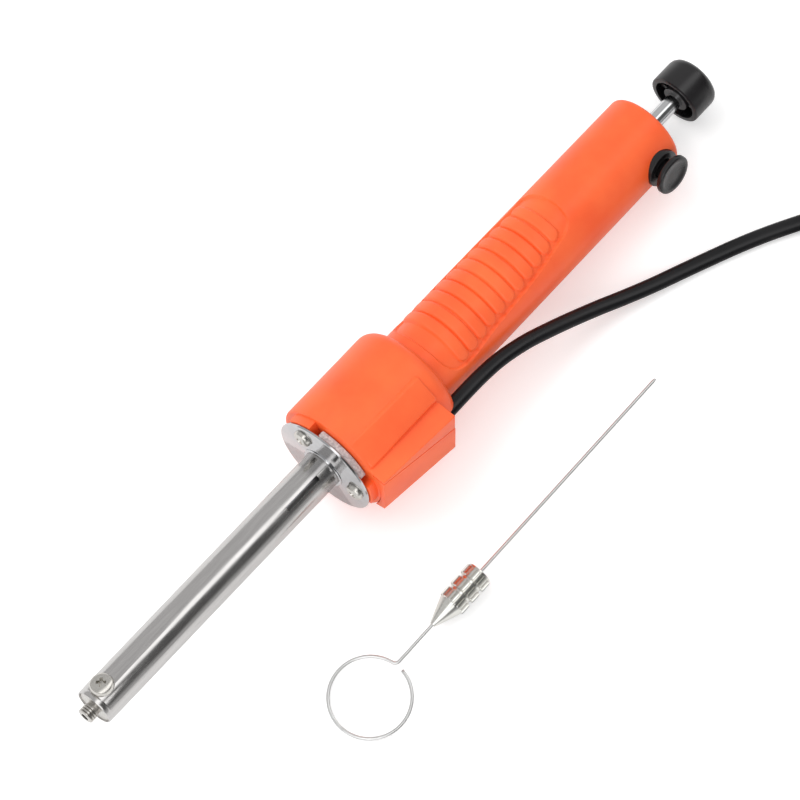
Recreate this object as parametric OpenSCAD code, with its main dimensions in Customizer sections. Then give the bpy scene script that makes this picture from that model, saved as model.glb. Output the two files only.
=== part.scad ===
// Vacuum desoldering iron: a heated barrel with a screw-on nozzle, a moulded handle with a spring
// pump inside, a terminal housing with its cover at the side, a mains cord, and its cleaning needle.
// Each fixed piece is drawn along the iron's own axis: x runs from the barrel's front end to the
// knob, "side" runs towards the terminal housing (-y) and "up" is +z. lay() then tips the iron so
// that it lies on the table, z = 0, with the origin under the axis on the cover's flat foot.

/* [Barrel] */
// Outer diameter of the heated barrel
barrel_d = 12; // [10:0.5:14]
// Wall of the barrel
barrel_wall = 0.5; // [0.4:0.1:0.8]
// Length of the barrel in front of the flange
barrel_l = 96.4; // [90:0.5:105]
// Number of vent slots round the barrel
slot_count = 4; // [2:1:4]
// Length of a vent slot
slot_l = 13; // [8:0.5:16]
// Width of a vent slot
slot_w = 1.6; // [1:0.1:2]
// Gap between the vent slots and the flange
slot_gap = 5.2; // [4:0.2:8]
// Angle of the first vent slot from the top
slot_turn = 22; // [0:1:45]
// Diameter of the threaded stub that takes the nozzle
stub_d = 5; // [4:0.5:6]
// Length of the threaded stub
stub_l = 3.6; // [3:0.2:5]
// Pitch of the stub's thread
thread_pitch = 0.8; // [0.5:0.1:1]
// Length of the seat that holds the stub in the barrel
seat_l = 12; // [10:0.5:16]
// Bore that the solder is drawn through
suction_bore = 2.4; // [2:0.1:2.6]
// Place of the tip screw behind the barrel's front end
tip_screw_x = 4.9; // [4.5:0.1:6]
// Diameter of the tip screw's shank
tip_screw_d = 4; // [3:0.5:4]
// Angle at which the tip screw and the grip panel sit
grip_turn = -11; // [-20:1:0]

/* [Heater] */
// Outer diameter of the suction tube
tube_d = 5; // [4.5:0.1:5.4]
// Bore of the suction tube
tube_bore = 3.6; // [3:0.1:4]
// Length of the heater
heater_l = 57; // [40:1:57]
// Wire of the heater winding
heater_wire = 0.5; // [0.4:0.1:0.6]
// Turns of the heater winding
heater_turns = 16; // [8:1:18]
// Wall of the heater's inner ceramic tube
core_wall = 0.6; // [0.5:0.1:0.7]
// Wall of the heater's outer insulating sleeve
sleeve_wall = 0.95; // [0.7:0.05:1]
// Diameter of a sleeved heater lead
lead_d = 1.7; // [1.4:0.1:1.8]

/* [Flange] */
// Diameter of the steel flange
flange_d = 32.8; // [30:0.2:34]
// Thickness of the flange
flange_t = 1; // [0.8:0.1:1.5]
// Radius on which the flange screws sit
flange_screw_r = 12.2; // [11.5:0.1:12.6]
// Angle of the first flange screw from the top
flange_screw_turn = -40.5; // [-60:0.5:-20]
// Shank diameter of the flange screws
flange_screw_d = 3; // [2.5:0.5:3]
// Thickness of the woven insulating gasket
gasket_t = 2.2; // [1.4:0.1:2.4]
// Diameter of the gasket
gasket_d = 31.2; // [29:0.2:32]

/* [Head] */
// Diameter of the handle's head
head_d = 36; // [35:0.5:38]
// Length of the head
head_l = 34.7; // [33:0.1:38]
// Gap between the flange and the head's front rim
land_h = 2.7; // [2.4:0.1:3.2]
// Wall of the head
head_wall = 2.2; // [1.8:0.1:2.6]
// Thickness of the head's front wall
front_wall = 3; // [2.5:0.1:3.5]
// Rounding of the head's rear shoulder
shoulder_r = 4; // [3:0.1:4]

/* [Terminal housing] */
// Height of the housing's top face above the axis
box_top = 12.2; // [11.8:0.1:12.8]
// Distance of the housing's outer wall from the axis, at the front end of its top face
box_side = 18.7; // [18.4:0.1:19.4]
// Spread of the outer wall towards the rear, per unit of length
box_spread = 0.055; // [0.03:0.005:0.07]
// Lean of the outer wall, outwards as it goes down, per unit of height
box_lean = 0.066; // [0.05:0.002:0.08]
// Depth of the outer wall's lower edge below the axis, at the front
box_drop = 5.5; // [4.5:0.1:6.5]
// Fall of the underside towards the rear, per unit of length
box_fall = 0.148; // [0.12:0.002:0.16]
// Fall of the underside inwards, per unit of width
box_under = 0.48; // [0.4:0.01:0.55]
// Length of the housing
box_l = 28.8; // [28.2:0.2:30]
// Wall of the housing and its cover
box_wall = 1.2; // [1:0.1:1.3]
// Height of the cover's joint above the axis at the front
seam_front = 11; // [10.8:0.1:11.4]
// Height of the cover's joint above the axis at the rear
seam_rear = 4; // [3.8:0.1:4.4]
// Open gap along the cover's joint
seam_gap = 0.25; // [0.1:0.05:0.4]
// Distance from the axis to the cover's foot
rest_drop = 20.4; // [20.2:0.1:21]

/* [Handle] */
// Diameter of the handle behind the head
grip_front_d = 25.5; // [25:0.1:27]
// Diameter of the handle at its rear end
grip_rear_d = 25; // [24.6:0.1:26]
// Length from the barrel's front end to the handle's rear end
tail_x = 238.3; // [236:0.1:242]
// Rounding of the handle's rear edge
tail_round = 1.5; // [1:0.1:1.6]
// Depth of the recessed grip panel
grip_depth = 0.5; // [0.3:0.05:0.6]
// Length of the grip panel
grip_l = 59; // [54:1:60]
// Number of grip ribs
rib_count = 11; // [8:1:11]
// Pitch of the grip ribs
rib_pitch = 4.45; // [4:0.05:4.5]
// Width of a grip rib
rib_w = 4; // [3:0.1:4.2]

/* [Pump] */
// Outer diameter of the pump cylinder
cylinder_d = 21.4; // [21:0.1:21.6]
// Wall of the pump cylinder
cylinder_wall = 0.8; // [0.6:0.1:1]
// Length of the pump cylinder
cylinder_l = 101; // [99:0.1:101.4]
// Diameter of the plunger rod
rod_d = 5; // [4:0.1:5.4]
// Length of the piston
piston_l = 12; // [10:0.5:13]
// Outward stroke of the plunger from its latched place
stroke = 36; // [20:1:38]
// Wire of the pump's main spring
spring_wire = 1.2; // [1:0.1:1.4]
// Turns of the main spring
spring_turns = 13; // [8:1:14]
// Diameter of the knob
knob_d = 17; // [15:0.5:20]
// Length of the knob
knob_l = 10; // [9:0.5:13]
// Free rod between the handle and the knob when the plunger is latched
rod_show = 12.7; // [10:0.1:15]

/* [Release button] */
// Place of the release button in front of the handle's rear end
button_back = 7.8; // [7.4:0.1:8.2]
// Angle of the release button from the top
button_turn = 74; // [60:1:90]
// Diameter of the button's disc
button_d = 12.3; // [11:0.1:13]
// Diameter of the button's stem
button_stem_d = 6; // [5:0.1:6.4]
// Distance from the axis to the button's outer face
button_reach = 17.4; // [17.2:0.1:18]
// Travel of the button
button_travel = 2.2; // [1.5:0.1:2.3]
// Diameter of the collar round the button's stem
collar_d = 11.6; // [10.5:0.1:12]

/* [Nozzle] */
// Diameter of the knurled nozzle body
nozzle_d = 8.5; // [8:0.1:9]
// Length of the knurled nozzle body
nozzle_body_l = 12.8; // [12:0.1:14]
// Length of the nozzle's cone
nozzle_cone_l = 7.5; // [6:0.1:9]
// Diameter of the nozzle's tip
nozzle_tip_d = 2; // [1.9:0.1:2.5]
// Diameter of the nozzle's suction hole
nozzle_hole_d = 1.2; // [1.2:0.1:1.4]

/* [Cleaning needle] */
// Wire of the cleaning needle
needle_wire = 1.1; // [0.8:0.1:1.1]
// Straight length of the needle from its bend to its point
needle_l = 110; // [100:1:120]
// Mean radius of the finger ring
ring_r = 11.9; // [10:0.1:13]

/* [Cord and plug] */
// Width of the flat cord
cord_w = 4.8; // [4.6:0.1:5]
// Thickness of the flat cord
cord_t = 3; // [2.8:0.1:3.2]
// Turns of the stored cord in each of its two layers
coil_layer_turns = 3; // [2:1:3]
// Radius of the stored cord's outer turn
coil_r = 35; // [35:0.5:38]
// Gap between the stored turns
coil_gap = 0.5; // [0.5:0.1:0.8]
// Diameter of a plug pin
pin_d = 4; // [3.8:0.1:4.2]
// Length of a plug pin
pin_l = 19; // [17:0.5:20]
// Distance between the plug pins
pin_gap = 18.6; // [18:0.1:19.2]

/* [Hidden] */
$fn = 64;
round_fn = 32;

// Clearances and the overrun of every cut
fit = 0.05;
seat_fit = 0.15;
cut = 1;
chamfer = 0.4;

// Places along the axis
slot_x = barrel_l - slot_gap - slot_l;
flange_back = barrel_l + flange_t;
lip_t = 0.7;
lip_r = barrel_d / 2 + 1;
barrel_end = flange_back + lip_t;
head_x = flange_back + land_h;
head_end = head_x + head_l;
neck_r = 1.2;
head_r = head_d / 2;
grip_front_r = grip_front_d / 2;
grip_rear_r = grip_rear_d / 2;
rim_chamfer = 0.8;
land_r = head_r - 1;
land_half_turn = 16;
land_inner_r = 9;
flange_hole_r = 8;
box_x = head_x;
box_end = box_x + box_l;
box_inner_side = 8;
cavity_r = head_r - head_wall;
cavity_end = head_end - shoulder_r;
bore_r = cylinder_d / 2 + fit;
rest_back = 14.4;
rest_x = head_x + rest_back;
tilt = atan((rest_drop - grip_rear_r) / (tail_x - tail_round - rest_x));

// Barrel and heater
seat_d = barrel_d - 2 * barrel_wall - 2 * fit;
seat_x = chamfer;
socket_l = 3;
tip_head_d = 7;
tip_head_h = 2.3;
tip_shank_in = 2.2;
heater_x = seat_x + seat_l + 2.3;
core_r = tube_d / 2 + 2 * fit + core_wall;
winding_r = core_r + 2.4 * fit + heater_wire / 2;
sleeve_r = winding_r + heater_wire / 2 + 2 * fit;
winding_margin = 2.5;
lead_side = 3.9;
lead_up = 1.5;

// Screws
pan_head_d = 5.6;
pan_head_h = 1.8;
flange_screw_l = 6.2;
cover_screw_d = 2.9;
cover_head_d = 5;
cover_head_h = 1.5;
cover_screw_l = 7.4;
cover_screw_side = 5.5;
cover_screw_inset = 8;
post_d = 6;
post_top = 9.5;

// Wiring in the head
bend_x = head_x + front_wall + 1.1;
block_x = bend_x + 1.4;
block_l = 11.4;
block_side = 8.2;
block_w = 8.4;
block_h = 9;
block_up = box_top - box_wall - block_h;
pole_side = block_side + 2.1;
pole_gap = 4.2;
pole_up = block_up + 4.5;
insert_w = 3.6;
insert_l = 8.6;
insert_bore = 2.4;
core_wire_d = 1;
core_d = 1.3;
core_gap = 2.2;
terminal_screw_d = 2.4;
terminal_head_d = 3.1;
terminal_head_h = 1.2;
cord_side = 15.8;
cord_up = 4.2;
sheath_x = box_x + 21.2;
clamp_x = sheath_x + 1;
clamp_l = 4;
clamp_t = 1.5;
clamp_screw_side = 10.9;
clamp_side = 9.2;
clamp_w = 8.7;
clamp_screw_l = 8;

// Pump
cylinder_x = tail_x - 3.8 - cylinder_l;
cylinder_in_r = cylinder_d / 2 - cylinder_wall;
plug_in_x = cylinder_x + 0.6;
plug_in_l = 8;
seal_wire = 1.8;
piston_x = plug_in_x + plug_in_l + 34;
piston_gap = 0.1;
over_travel = 1.5;
spring_r = cylinder_in_r - spring_wire / 2 - 0.9;
spring_x = plug_in_x + plug_in_l;
button_x = tail_x - button_back;
groove_l = 1.8;
groove_d = 4.2;
knob_x = tail_x + rod_show;
knob_wall = 1.6;
knob_floor = 2.6;
knob_hub_d = 8.4;
knob_rib_w = 1.2;
knob_set = 1.6;
knob_round = 2.2;
bush_l = 3.7;
bush_boss_r = 4.5;
bush_boss_l = 0.6;
plate_t = 1.2;
plate_w = 10;
plate_out = 8;
plate_in = 5.2;
tab_t = 0.8;
tab_w = 4.6;
button_disc_t = 1.8;
collar_reach = 13.3;
button_spring_r = 1.5;
button_wire = 0.4;
button_turns = 4;

// Nozzle and needle on the table, measured from the foot's origin
needle_side = 49.6;
ring_back = 58.2;
ring_turn_start = 10;
ring_turn_end = 352;
needle_yaw = 0.8;
bend_r = 1.6;
nozzle_tip_gap = 14;
thread_l = 5;
knurl_depth = 0.45;
knurl_count = 24;
band_count = 3;
groove_w = 0.9;

// Cord route on the table, in the laid frame
CORD_ROUTE = [[8, -15.8, 24.1], [16.6, -15.8, 23.6], [25, -15.7, 23], [33, -15.7, 22],
    [41, -16.1, 20.3], [50, -17.4, 17.4], [58, -19.2, 14], [66, -21.3, 10.5], [75, -24.1, 7],
    [83, -27.1, 4.6], [92, -30.6, 2.9], [101, -34, 2], [110, -37.6, 1.6], [119, -41.5, 1.6],
    [127, -45.4, 1.6], [135, -49.8, 1.7], [142.5, -54.3, 1.9], [150, -58.8, 2.1],
    [160, -64.8, 2.2]];
tie_t = 0.6;
tie_w = 6;
tie_turn = 60;
coil_rest = 0.1;
coil_low = tie_t + coil_rest + cord_t / 2;
coil_high = coil_low + cord_t + coil_gap;
coil_pitch = cord_w + coil_gap;
coil_rings = 24;
coil_turns = 2 * coil_layer_turns;
climb_share = 0.25;
cord_last = CORD_ROUTE[len(CORD_ROUTE) - 1];
cord_before = CORD_ROUTE[len(CORD_ROUTE) - 2];
coil_heading = atan2(cord_last[1] - cord_before[1], cord_last[0] - cord_before[0]);
coil_start = coil_heading + 90;
coil_centre = [cord_last[0] - coil_r * cos(coil_start), cord_last[1] - coil_r * sin(coil_start)];
// The cord climbs onto the coil, turns inwards, and the plug lies across the coil's top
rise_shares = [0.11, 0.38, 0.7, 1];
rise_turns = 0.08;
tail_bend_r = 20;
tail_sweep = 120;
tail_steps = 12;
plug_w = 25.5;
plug_t = 13.5;
plug_l = 22;
plug_neck_l = 9;
plug_neck_w = 9;
plug_neck_t = 8;
plug_round = 4;
pin_root_l = 6;
pin_root_d = pin_d - 1;
pin_round = 0.8;

// Vectors and swept tubes
function unit(v) = v / norm(v);
function heading(path, i) =
    let(a = path[max(i - 1, 0)], b = path[min(i + 1, len(path) - 1)]) unit(b - a);
function ring_points(centre, along, side, w, t, n) =
    let(rise = unit(cross(along, side)), across = cross(rise, along))
    [for (k = [0 : n - 1]) centre + across * w / 2 * cos(360 * k / n) + rise * t / 2 * sin(360 * k / n)];
function swept(path, sides, w, t, n) =
    [for (i = [0 : len(path) - 1]) each ring_points(path[i], heading(path, i), sides[i], w, t, n)];
function plan_sides(path) = [for (i = [0 : len(path) - 1]) cross([0, 0, 1], heading(path, i))];

module sweep(path, sides, w, t, n) {
    last = (len(path) - 1) * n;
    walls = [for (i = [0 : len(path) - 2], k = [0 : n - 1])
        let(a = i * n + k, b = i * n + (k + 1) % n)
        each [[a, a + n, b + n], [a, b + n, b]]];
    caps = [for (k = [1 : n - 2]) each [[0, k, k + 1], [last, last + k + 1, last + k]]];
    polyhedron(points = swept(path, sides, w, t, n), faces = concat(walls, caps));
}

// Helix of a wire round the x axis
function helix_angle(i, rings) = 360 * i / rings;
function helix(r, x0, l, turns, rings) = [for (i = [0 : turns * rings])
    [x0 + l * i / (turns * rings), r * cos(helix_angle(i, rings)), r * sin(helix_angle(i, rings))]];
function helix_sides(turns, rings) = [for (i = [0 : turns * rings])
    [0, cos(helix_angle(i, rings)), sin(helix_angle(i, rings))]];
module helix_wire(r, x0, l, turns, wire, rings = 8) {
    sweep(helix(r, x0 + wire / 2, l - wire, turns, rings), helix_sides(turns, rings), wire, wire, 6);
}

// Stored cord: two layers, spiralling in and out again, with one climb where the spiral reverses
function coil_radius(u) = coil_r - coil_pitch * (u < coil_layer_turns ? u : coil_turns - u);
function climb(u) = let(s = (u - coil_layer_turns + climb_share) / (2 * climb_share),
    c = min(max(s, 0), 1)) c * c * (3 - 2 * c);
function coil_angle(u) = coil_start - 360 * u;
function coil_point(u) = [coil_centre[0] + coil_radius(u) * cos(coil_angle(u)),
    coil_centre[1] + coil_radius(u) * sin(coil_angle(u)),
    coil_low + (coil_high - coil_low) * climb(u)];
coil_path = [for (i = [0 : coil_turns * coil_rings]) coil_point(i / coil_rings)];
coil_sides = [for (i = [0 : coil_turns * coil_rings])
    [cos(coil_angle(i / coil_rings)), sin(coil_angle(i / coil_rings)), 0]];
plug_z = coil_high + cord_t / 2 + coil_gap / 2 + plug_t / 2;
ride_z = coil_high + cord_t + coil_gap;
function on_circle(centre, r, angle, z) = [centre[0] + r * cos(angle), centre[1] + r * sin(angle), z];
tail_turn = coil_angle(coil_turns + rise_turns);
tail_centre = on_circle(coil_centre, coil_r - tail_bend_r, tail_turn, 0);
tail_path = concat(
    [for (i = [0 : len(rise_shares) - 1]) on_circle(coil_centre, coil_r,
        coil_angle(coil_turns + rise_turns * (i + 1) / len(rise_shares)),
        coil_high + (ride_z - coil_high) * rise_shares[i])],
    [for (i = [1 : tail_steps]) on_circle(tail_centre, tail_bend_r, tail_turn - tail_sweep * i / tail_steps,
        ride_z + (plug_z - ride_z) * i / tail_steps)]);
tail_sides = concat(
    [for (i = [1 : len(rise_shares)]) let(a = coil_angle(coil_turns + rise_turns * i / len(rise_shares)))
        [cos(a), sin(a), 0]],
    [for (i = [1 : tail_steps]) let(a = tail_turn - tail_sweep * i / tail_steps) [cos(a), sin(a), 0]]);
wound_path = concat(coil_path, tail_path);
wound_sides = concat(coil_sides, tail_sides);

// Least gap of a swept tube to itself, between rings that are at least half a loop apart
function ring_gap(a, b) = min([for (p = a, q = b) norm(p - q)]);
function self_gap(path, sides, w, t, n, skip) =
    let(rings = [for (i = [0 : len(path) - 1]) ring_points(path[i], heading(path, i), sides[i], w, t, n)])
    min([for (i = [0 : len(path) - 1], j = [i + skip : 1 : len(path) - 1])
        if (norm(path[i] - path[j]) < 4 * w) ring_gap(rings[i], rings[j])]);
spring_path = helix(spring_r, spring_x, piston_x - spring_x, spring_turns, 8);
echo(coil_gap_to_itself = self_gap(wound_path, wound_sides, cord_w, cord_t, 6, 12));
echo(spring_gap_to_itself = self_gap(spring_path, helix_sides(spring_turns, 8), spring_wire, spring_wire, 6, 4));

// Frames
module lay() {
    rotate([0, tilt, 0]) translate([-rest_x, 0, rest_drop]) children();
}
module along_x(x0 = 0) {
    translate([x0, 0, 0]) rotate([0, 90, 0]) children();
}
module turned(angle) {
    rotate([angle, 0, 0]) children();
}
module at(x, side, up) {
    translate([x, -side, up]) children();
}
module rod(x0, l, d) {
    along_x(x0) cylinder(h = l, d = d);
}
module pipe(x0, l, d_out, d_in) {
    along_x(x0) difference() {
        cylinder(h = l, d = d_out);
        translate([0, 0, -cut]) cylinder(h = l + 2 * cut, d = d_in);
    }
}
// A block that runs from one corner to the other, in x, side and up
module block(x0, x1, side0, side1, up0, up1) {
    translate([x0, -side1, up0]) cube([x1 - x0, side1 - side0, up1 - up0]);
}
// Cross-head pan screw: its head stands on z = 0 and its shank hangs below
module pan_screw(head_d, head_h, shank_d, shank_l) {
    slot = head_d * 0.15;
    difference() {
        union() {
            rotate_extrude() polygon([[0, 0], [head_d / 2, 0], [head_d / 2, head_h * 0.45],
                [head_d * 0.44, head_h * 0.75], [head_d * 0.32, head_h * 0.93], [head_d * 0.16, head_h], [0, head_h]]);
            translate([0, 0, -shank_l]) cylinder(h = shank_l + head_h / 2, d = shank_d);
        }
        for (a = [0, 90]) rotate([0, 0, a])
            translate([-head_d * 0.3, -slot / 2, head_h * 0.4]) cube([head_d * 0.6, slot, head_h]);
    }
}

// Terminal housing: its outer wall spreads to the rear and its ends slope back
// Takes away all that lies beyond a plane, given by a point on it and its outward direction
module beyond(point, out) {
    reach = 3 * head_d;
    translate(point) rotate([0, acos(out[2] / norm(out)), atan2(out[1], out[0])])
        translate([-reach / 2, -reach / 2, 0]) cube(reach);
}
module box_prism(front, rear, inset) {
    wall_out = [-box_spread, -1, box_lean];
    under_out = [-box_fall, -box_under, -1];
    low_side = box_side + box_lean * (box_top + box_drop);
    difference() {
        block(box_x + front, box_end - rear, box_inner_side, head_d, -head_d, box_top - inset);
        beyond([box_x, -box_side, box_top] - unit(wall_out) * inset, wall_out);
        beyond([box_x, -low_side, -box_drop] - unit(under_out) * inset, under_out);
    }
}
module box_cavity() {
    box_prism(front_wall, box_wall, box_wall);
}
// Everything above the cover's sloping joint, lowered by a gap
module above_seam(gap) {
    reach = 2 * head_d;
    fall = atan((seam_front - seam_rear) / box_l);
    translate([box_x, -reach / 2, seam_front - gap]) rotate([0, fall, 0])
        translate([-reach / 2, 0, 0]) cube([2 * reach, reach, reach]);
}
module below_seam() {
    reach = 2 * head_d;
    fall = atan((seam_front - seam_rear) / box_l);
    translate([box_x, -reach / 2, seam_front]) rotate([0, fall, 0])
        translate([-reach / 2, 0, -reach]) cube([2 * reach, reach, reach]);
}
// The cord's slot runs on as a groove through the head's shoulder
module cord_slot() {
    half_w = cord_w / 2 + seat_fit;
    half_t = cord_t / 2 + seat_fit;
    block(box_end - 2 * box_wall, head_end + cut, cord_side - half_w, cord_side + half_w,
        cord_up - half_t, cord_up + half_t);
}
cover_screw_xs = [box_x + cover_screw_inset, box_end - cover_screw_inset];
function rest_depth(x) = rest_drop - (x - rest_x) * tan(tilt);

// Barrel
module barrel() color("silver") lay() difference() {
    union() {
        along_x() rotate_extrude() polygon([[0, 0], [barrel_d / 2 - chamfer, 0], [barrel_d / 2, chamfer],
            [barrel_d / 2, barrel_end], [0, barrel_end]]);
        rod(flange_back + fit, lip_t - fit, 2 * lip_r);
    }
    rod(-cut, barrel_end + 2 * cut, barrel_d - 2 * barrel_wall);
    for (k = [0 : slot_count - 1]) turned(slot_turn + 360 * k / slot_count) vent_slot();
    turned(grip_turn) translate([tip_screw_x, 0, 0]) cylinder(h = barrel_d, d = tip_screw_d + 2 * fit);
}
module vent_slot() {
    translate([slot_x + slot_w / 2, -slot_w / 2, 0]) cube([slot_l - slot_w, slot_w, barrel_d]);
    for (x = [slot_x + slot_w / 2, slot_x + slot_l - slot_w / 2])
        translate([x, 0, 0]) cylinder(h = barrel_d, d = slot_w, $fn = round_fn);
}
module nozzle_seat() color("gainsboro") lay() difference() {
    crest = thread_pitch * 0.3;
    depth = thread_pitch * 0.45;
    threads = floor(stub_l / thread_pitch);
    along_x() rotate_extrude() polygon(concat([[0, -stub_l]],
        [for (i = [0 : threads - 1]) let(x = -stub_l + i * thread_pitch) each
            [[stub_d / 2 - (i == 0 ? depth : 0), x], [stub_d / 2, x + (i == 0 ? crest : 0)],
            [stub_d / 2, x + 2 * crest], [stub_d / 2 - depth, x + 2.6 * crest]]],
        [[stub_d / 2 - depth, seat_x], [seat_d / 2 - chamfer, seat_x], [seat_d / 2, seat_x + chamfer],
        [seat_d / 2, seat_x + seat_l], [0, seat_x + seat_l]]));
    rod(-stub_l - cut, stub_l + seat_l, suction_bore);
    rod(seat_x + seat_l - socket_l, socket_l + cut, tube_d + 2 * fit);
    turned(grip_turn) translate([tip_screw_x, 0, tip_shank_in]) cylinder(h = seat_d, d = tip_screw_d + 2 * fit);
}
module tip_screw() color("lightgray") lay() turned(grip_turn)
    translate([tip_screw_x, 0, barrel_d / 2 + fit]) rotate([0, 0, 30])
        pan_screw(tip_head_d, tip_head_h, tip_screw_d, barrel_d / 2 - tip_shank_in);
module suction_tube() color("silver") lay() {
    x0 = seat_x + seat_l - socket_l + fit;
    pipe(x0, plug_in_x + plug_in_l - x0, tube_d, tube_bore);
}
module heater_core() color("ivory") lay() pipe(heater_x, heater_l, 2 * core_r, 2 * (core_r - core_wall));
module heater_winding() color("dimgray") lay()
    helix_wire(winding_r, heater_x + winding_margin, heater_l - 2 * winding_margin, heater_turns, heater_wire, 16);
module heater_sleeve() color("oldlace") lay()
    pipe(heater_x, heater_l, 2 * (sleeve_r + sleeve_wall), 2 * sleeve_r);
// A wire through corner points, each corner rounded by three points
function eased(path, r) = [for (i = [0 : len(path) - 1]) each
    i == 0 || i == len(path) - 1 ? [path[i]] :
    let(u = unit(path[i] - path[i - 1]), v = unit(path[i + 1] - path[i]))
        [path[i] - u * r, path[i] + (v - u) * r / 4, path[i] + v * r]];
module wire(path, r, d) {
    soft = eased(path, r);
    sweep(soft, plan_sides(soft), d, d, 8);
}
module heater_leads() color("whitesmoke") lay() for (k = [0, 1]) {
    up = k == 0 ? lead_up : -lead_up;
    entry = [block_x - 0.2, -(pole_side + k * pole_gap), pole_up];
    wire([[heater_x + heater_l + 0.2, -lead_side, up], [bend_x, -lead_side, up], entry - [0.3, 0, 0],
        entry], 0.25, lead_d);
    rod_at(entry - [lead_d / 4, 0, 0], block_l / 3, core_wire_d);
}
module rod_at(p, l, d) {
    translate(p) rotate([0, 90, 0]) cylinder(h = l, d = d, $fn = round_fn);
}

// Flange
module flange_spots() {
    for (k = [0 : 2]) turned(flange_screw_turn + 120 * k) translate([0, 0, flange_screw_r]) children();
}
module mounting_flange() color("silver") lay() difference() {
    along_x(barrel_l) rotate_extrude() polygon([[barrel_d / 2 + fit, -lip_t], [lip_r - chamfer, -lip_t],
        [lip_r, chamfer - lip_t], [lip_r, 0], [flange_d / 2, 0], [flange_d / 2, flange_t],
        [barrel_d / 2 + fit, flange_t]]);
    flange_spots() rod(barrel_l - cut, flange_t + 2 * cut, flange_screw_d + 2 * seat_fit);
}
module flange_screws() color("lightgray") lay() flange_spots()
    translate([barrel_l - fit, 0, 0]) rotate([0, -90, 0])
        pan_screw(pan_head_d, pan_head_h, flange_screw_d - 2 * seat_fit, flange_screw_l);
module sector(r_in, r_out, half_turn, x0, l) {
    far = 2 * r_out;
    intersection() {
        pipe(x0, l, 2 * r_out, 2 * r_in);
        translate([x0, 0, 0]) rotate([90, 0, 90]) linear_extrude(height = l)
            polygon([[0, 0], [far * tan(half_turn), far], [-far * tan(half_turn), far]]);
    }
}
module flange_gasket() color("darkgray") lay() difference() {
    notch = land_half_turn * 1.6;
    pipe(flange_back + fit, gasket_t, gasket_d, 2 * lip_r + 2 * seat_fit);
    for (k = [0 : 2]) turned(flange_screw_turn + 120 * k)
        sector(land_inner_r - 2 * seat_fit, gasket_d, notch, flange_back - cut, gasket_t + 2 * cut);
}

// Handle
module handle_profile() {
    arc_steps = 8;
    along_x() rotate_extrude() polygon(concat(
        [[0, head_x], [head_r - rim_chamfer, head_x], [head_r, head_x + rim_chamfer]],
        [for (i = [0 : arc_steps]) let(a = 90 * i / arc_steps)
            [head_r - shoulder_r + shoulder_r * cos(a), head_end - shoulder_r + shoulder_r * sin(a)]],
        [for (i = [0 : arc_steps / 2]) let(a = 180 * i / arc_steps)
            [grip_front_r + neck_r - neck_r * sin(a), head_end + neck_r - neck_r * cos(a)]],
        [for (i = [0 : arc_steps / 2]) let(a = 180 * i / arc_steps)
            [grip_rear_r - tail_round + tail_round * cos(a), tail_x - tail_round + tail_round * sin(a)]],
        [[0, tail_x]]));
}
// Grip outline, seen square to the panel: narrower at its rear end
grip_x = head_end + neck_r + 2.6;
grip_outline_shares = [[0, 0.27], [0.01, 0.7], [0.06, 0.86], [0.15, 0.92], [0.33, 0.88], [0.5, 0.84],
    [0.67, 0.81], [0.84, 0.7], [0.94, 0.6], [0.985, 0.45], [1, 0.2]];
function grip_outline(inset) = let(l = grip_l - 2 * inset, w = grip_front_r - 2 * inset)
    [for (p = grip_outline_shares) [grip_x + inset + l * p[0], w * p[1]]];
module grip_prism(inset) {
    half = grip_outline(inset);
    turned(grip_turn) linear_extrude(height = grip_front_d)
        polygon(concat(half, [for (i = [len(half) - 1 : -1 : 0]) [half[i][0], -half[i][1]]]));
}
module grip_ribs() {
    floor_r = grip_rear_r - grip_depth;
    first = grip_x + (grip_l - (rib_count - 1) * rib_pitch) / 2;
    intersection() {
        along_x() rotate_extrude() for (i = [0 : rib_count - 1]) translate([0, first + i * rib_pitch])
            polygon([[floor_r - cut, -rib_w / 2], [floor_r, -rib_w / 2], [floor_r + 0.7 * grip_depth, -rib_w * 0.34],
                [floor_r + grip_depth, -rib_w * 0.14], [floor_r + grip_depth, rib_w * 0.14],
                [floor_r + 0.7 * grip_depth, rib_w * 0.34], [floor_r, rib_w / 2], [floor_r - cut, rib_w / 2]]);
        grip_prism(1.4);
    }
}
module handle_shell() {
    difference() {
        handle_profile();
        intersection() {
            pipe(grip_x - cut, grip_l + 2 * cut, grip_front_d + 2 * cut, grip_rear_d - 2 * grip_depth);
            grip_prism(0);
        }
    }
    grip_ribs();
}
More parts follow.
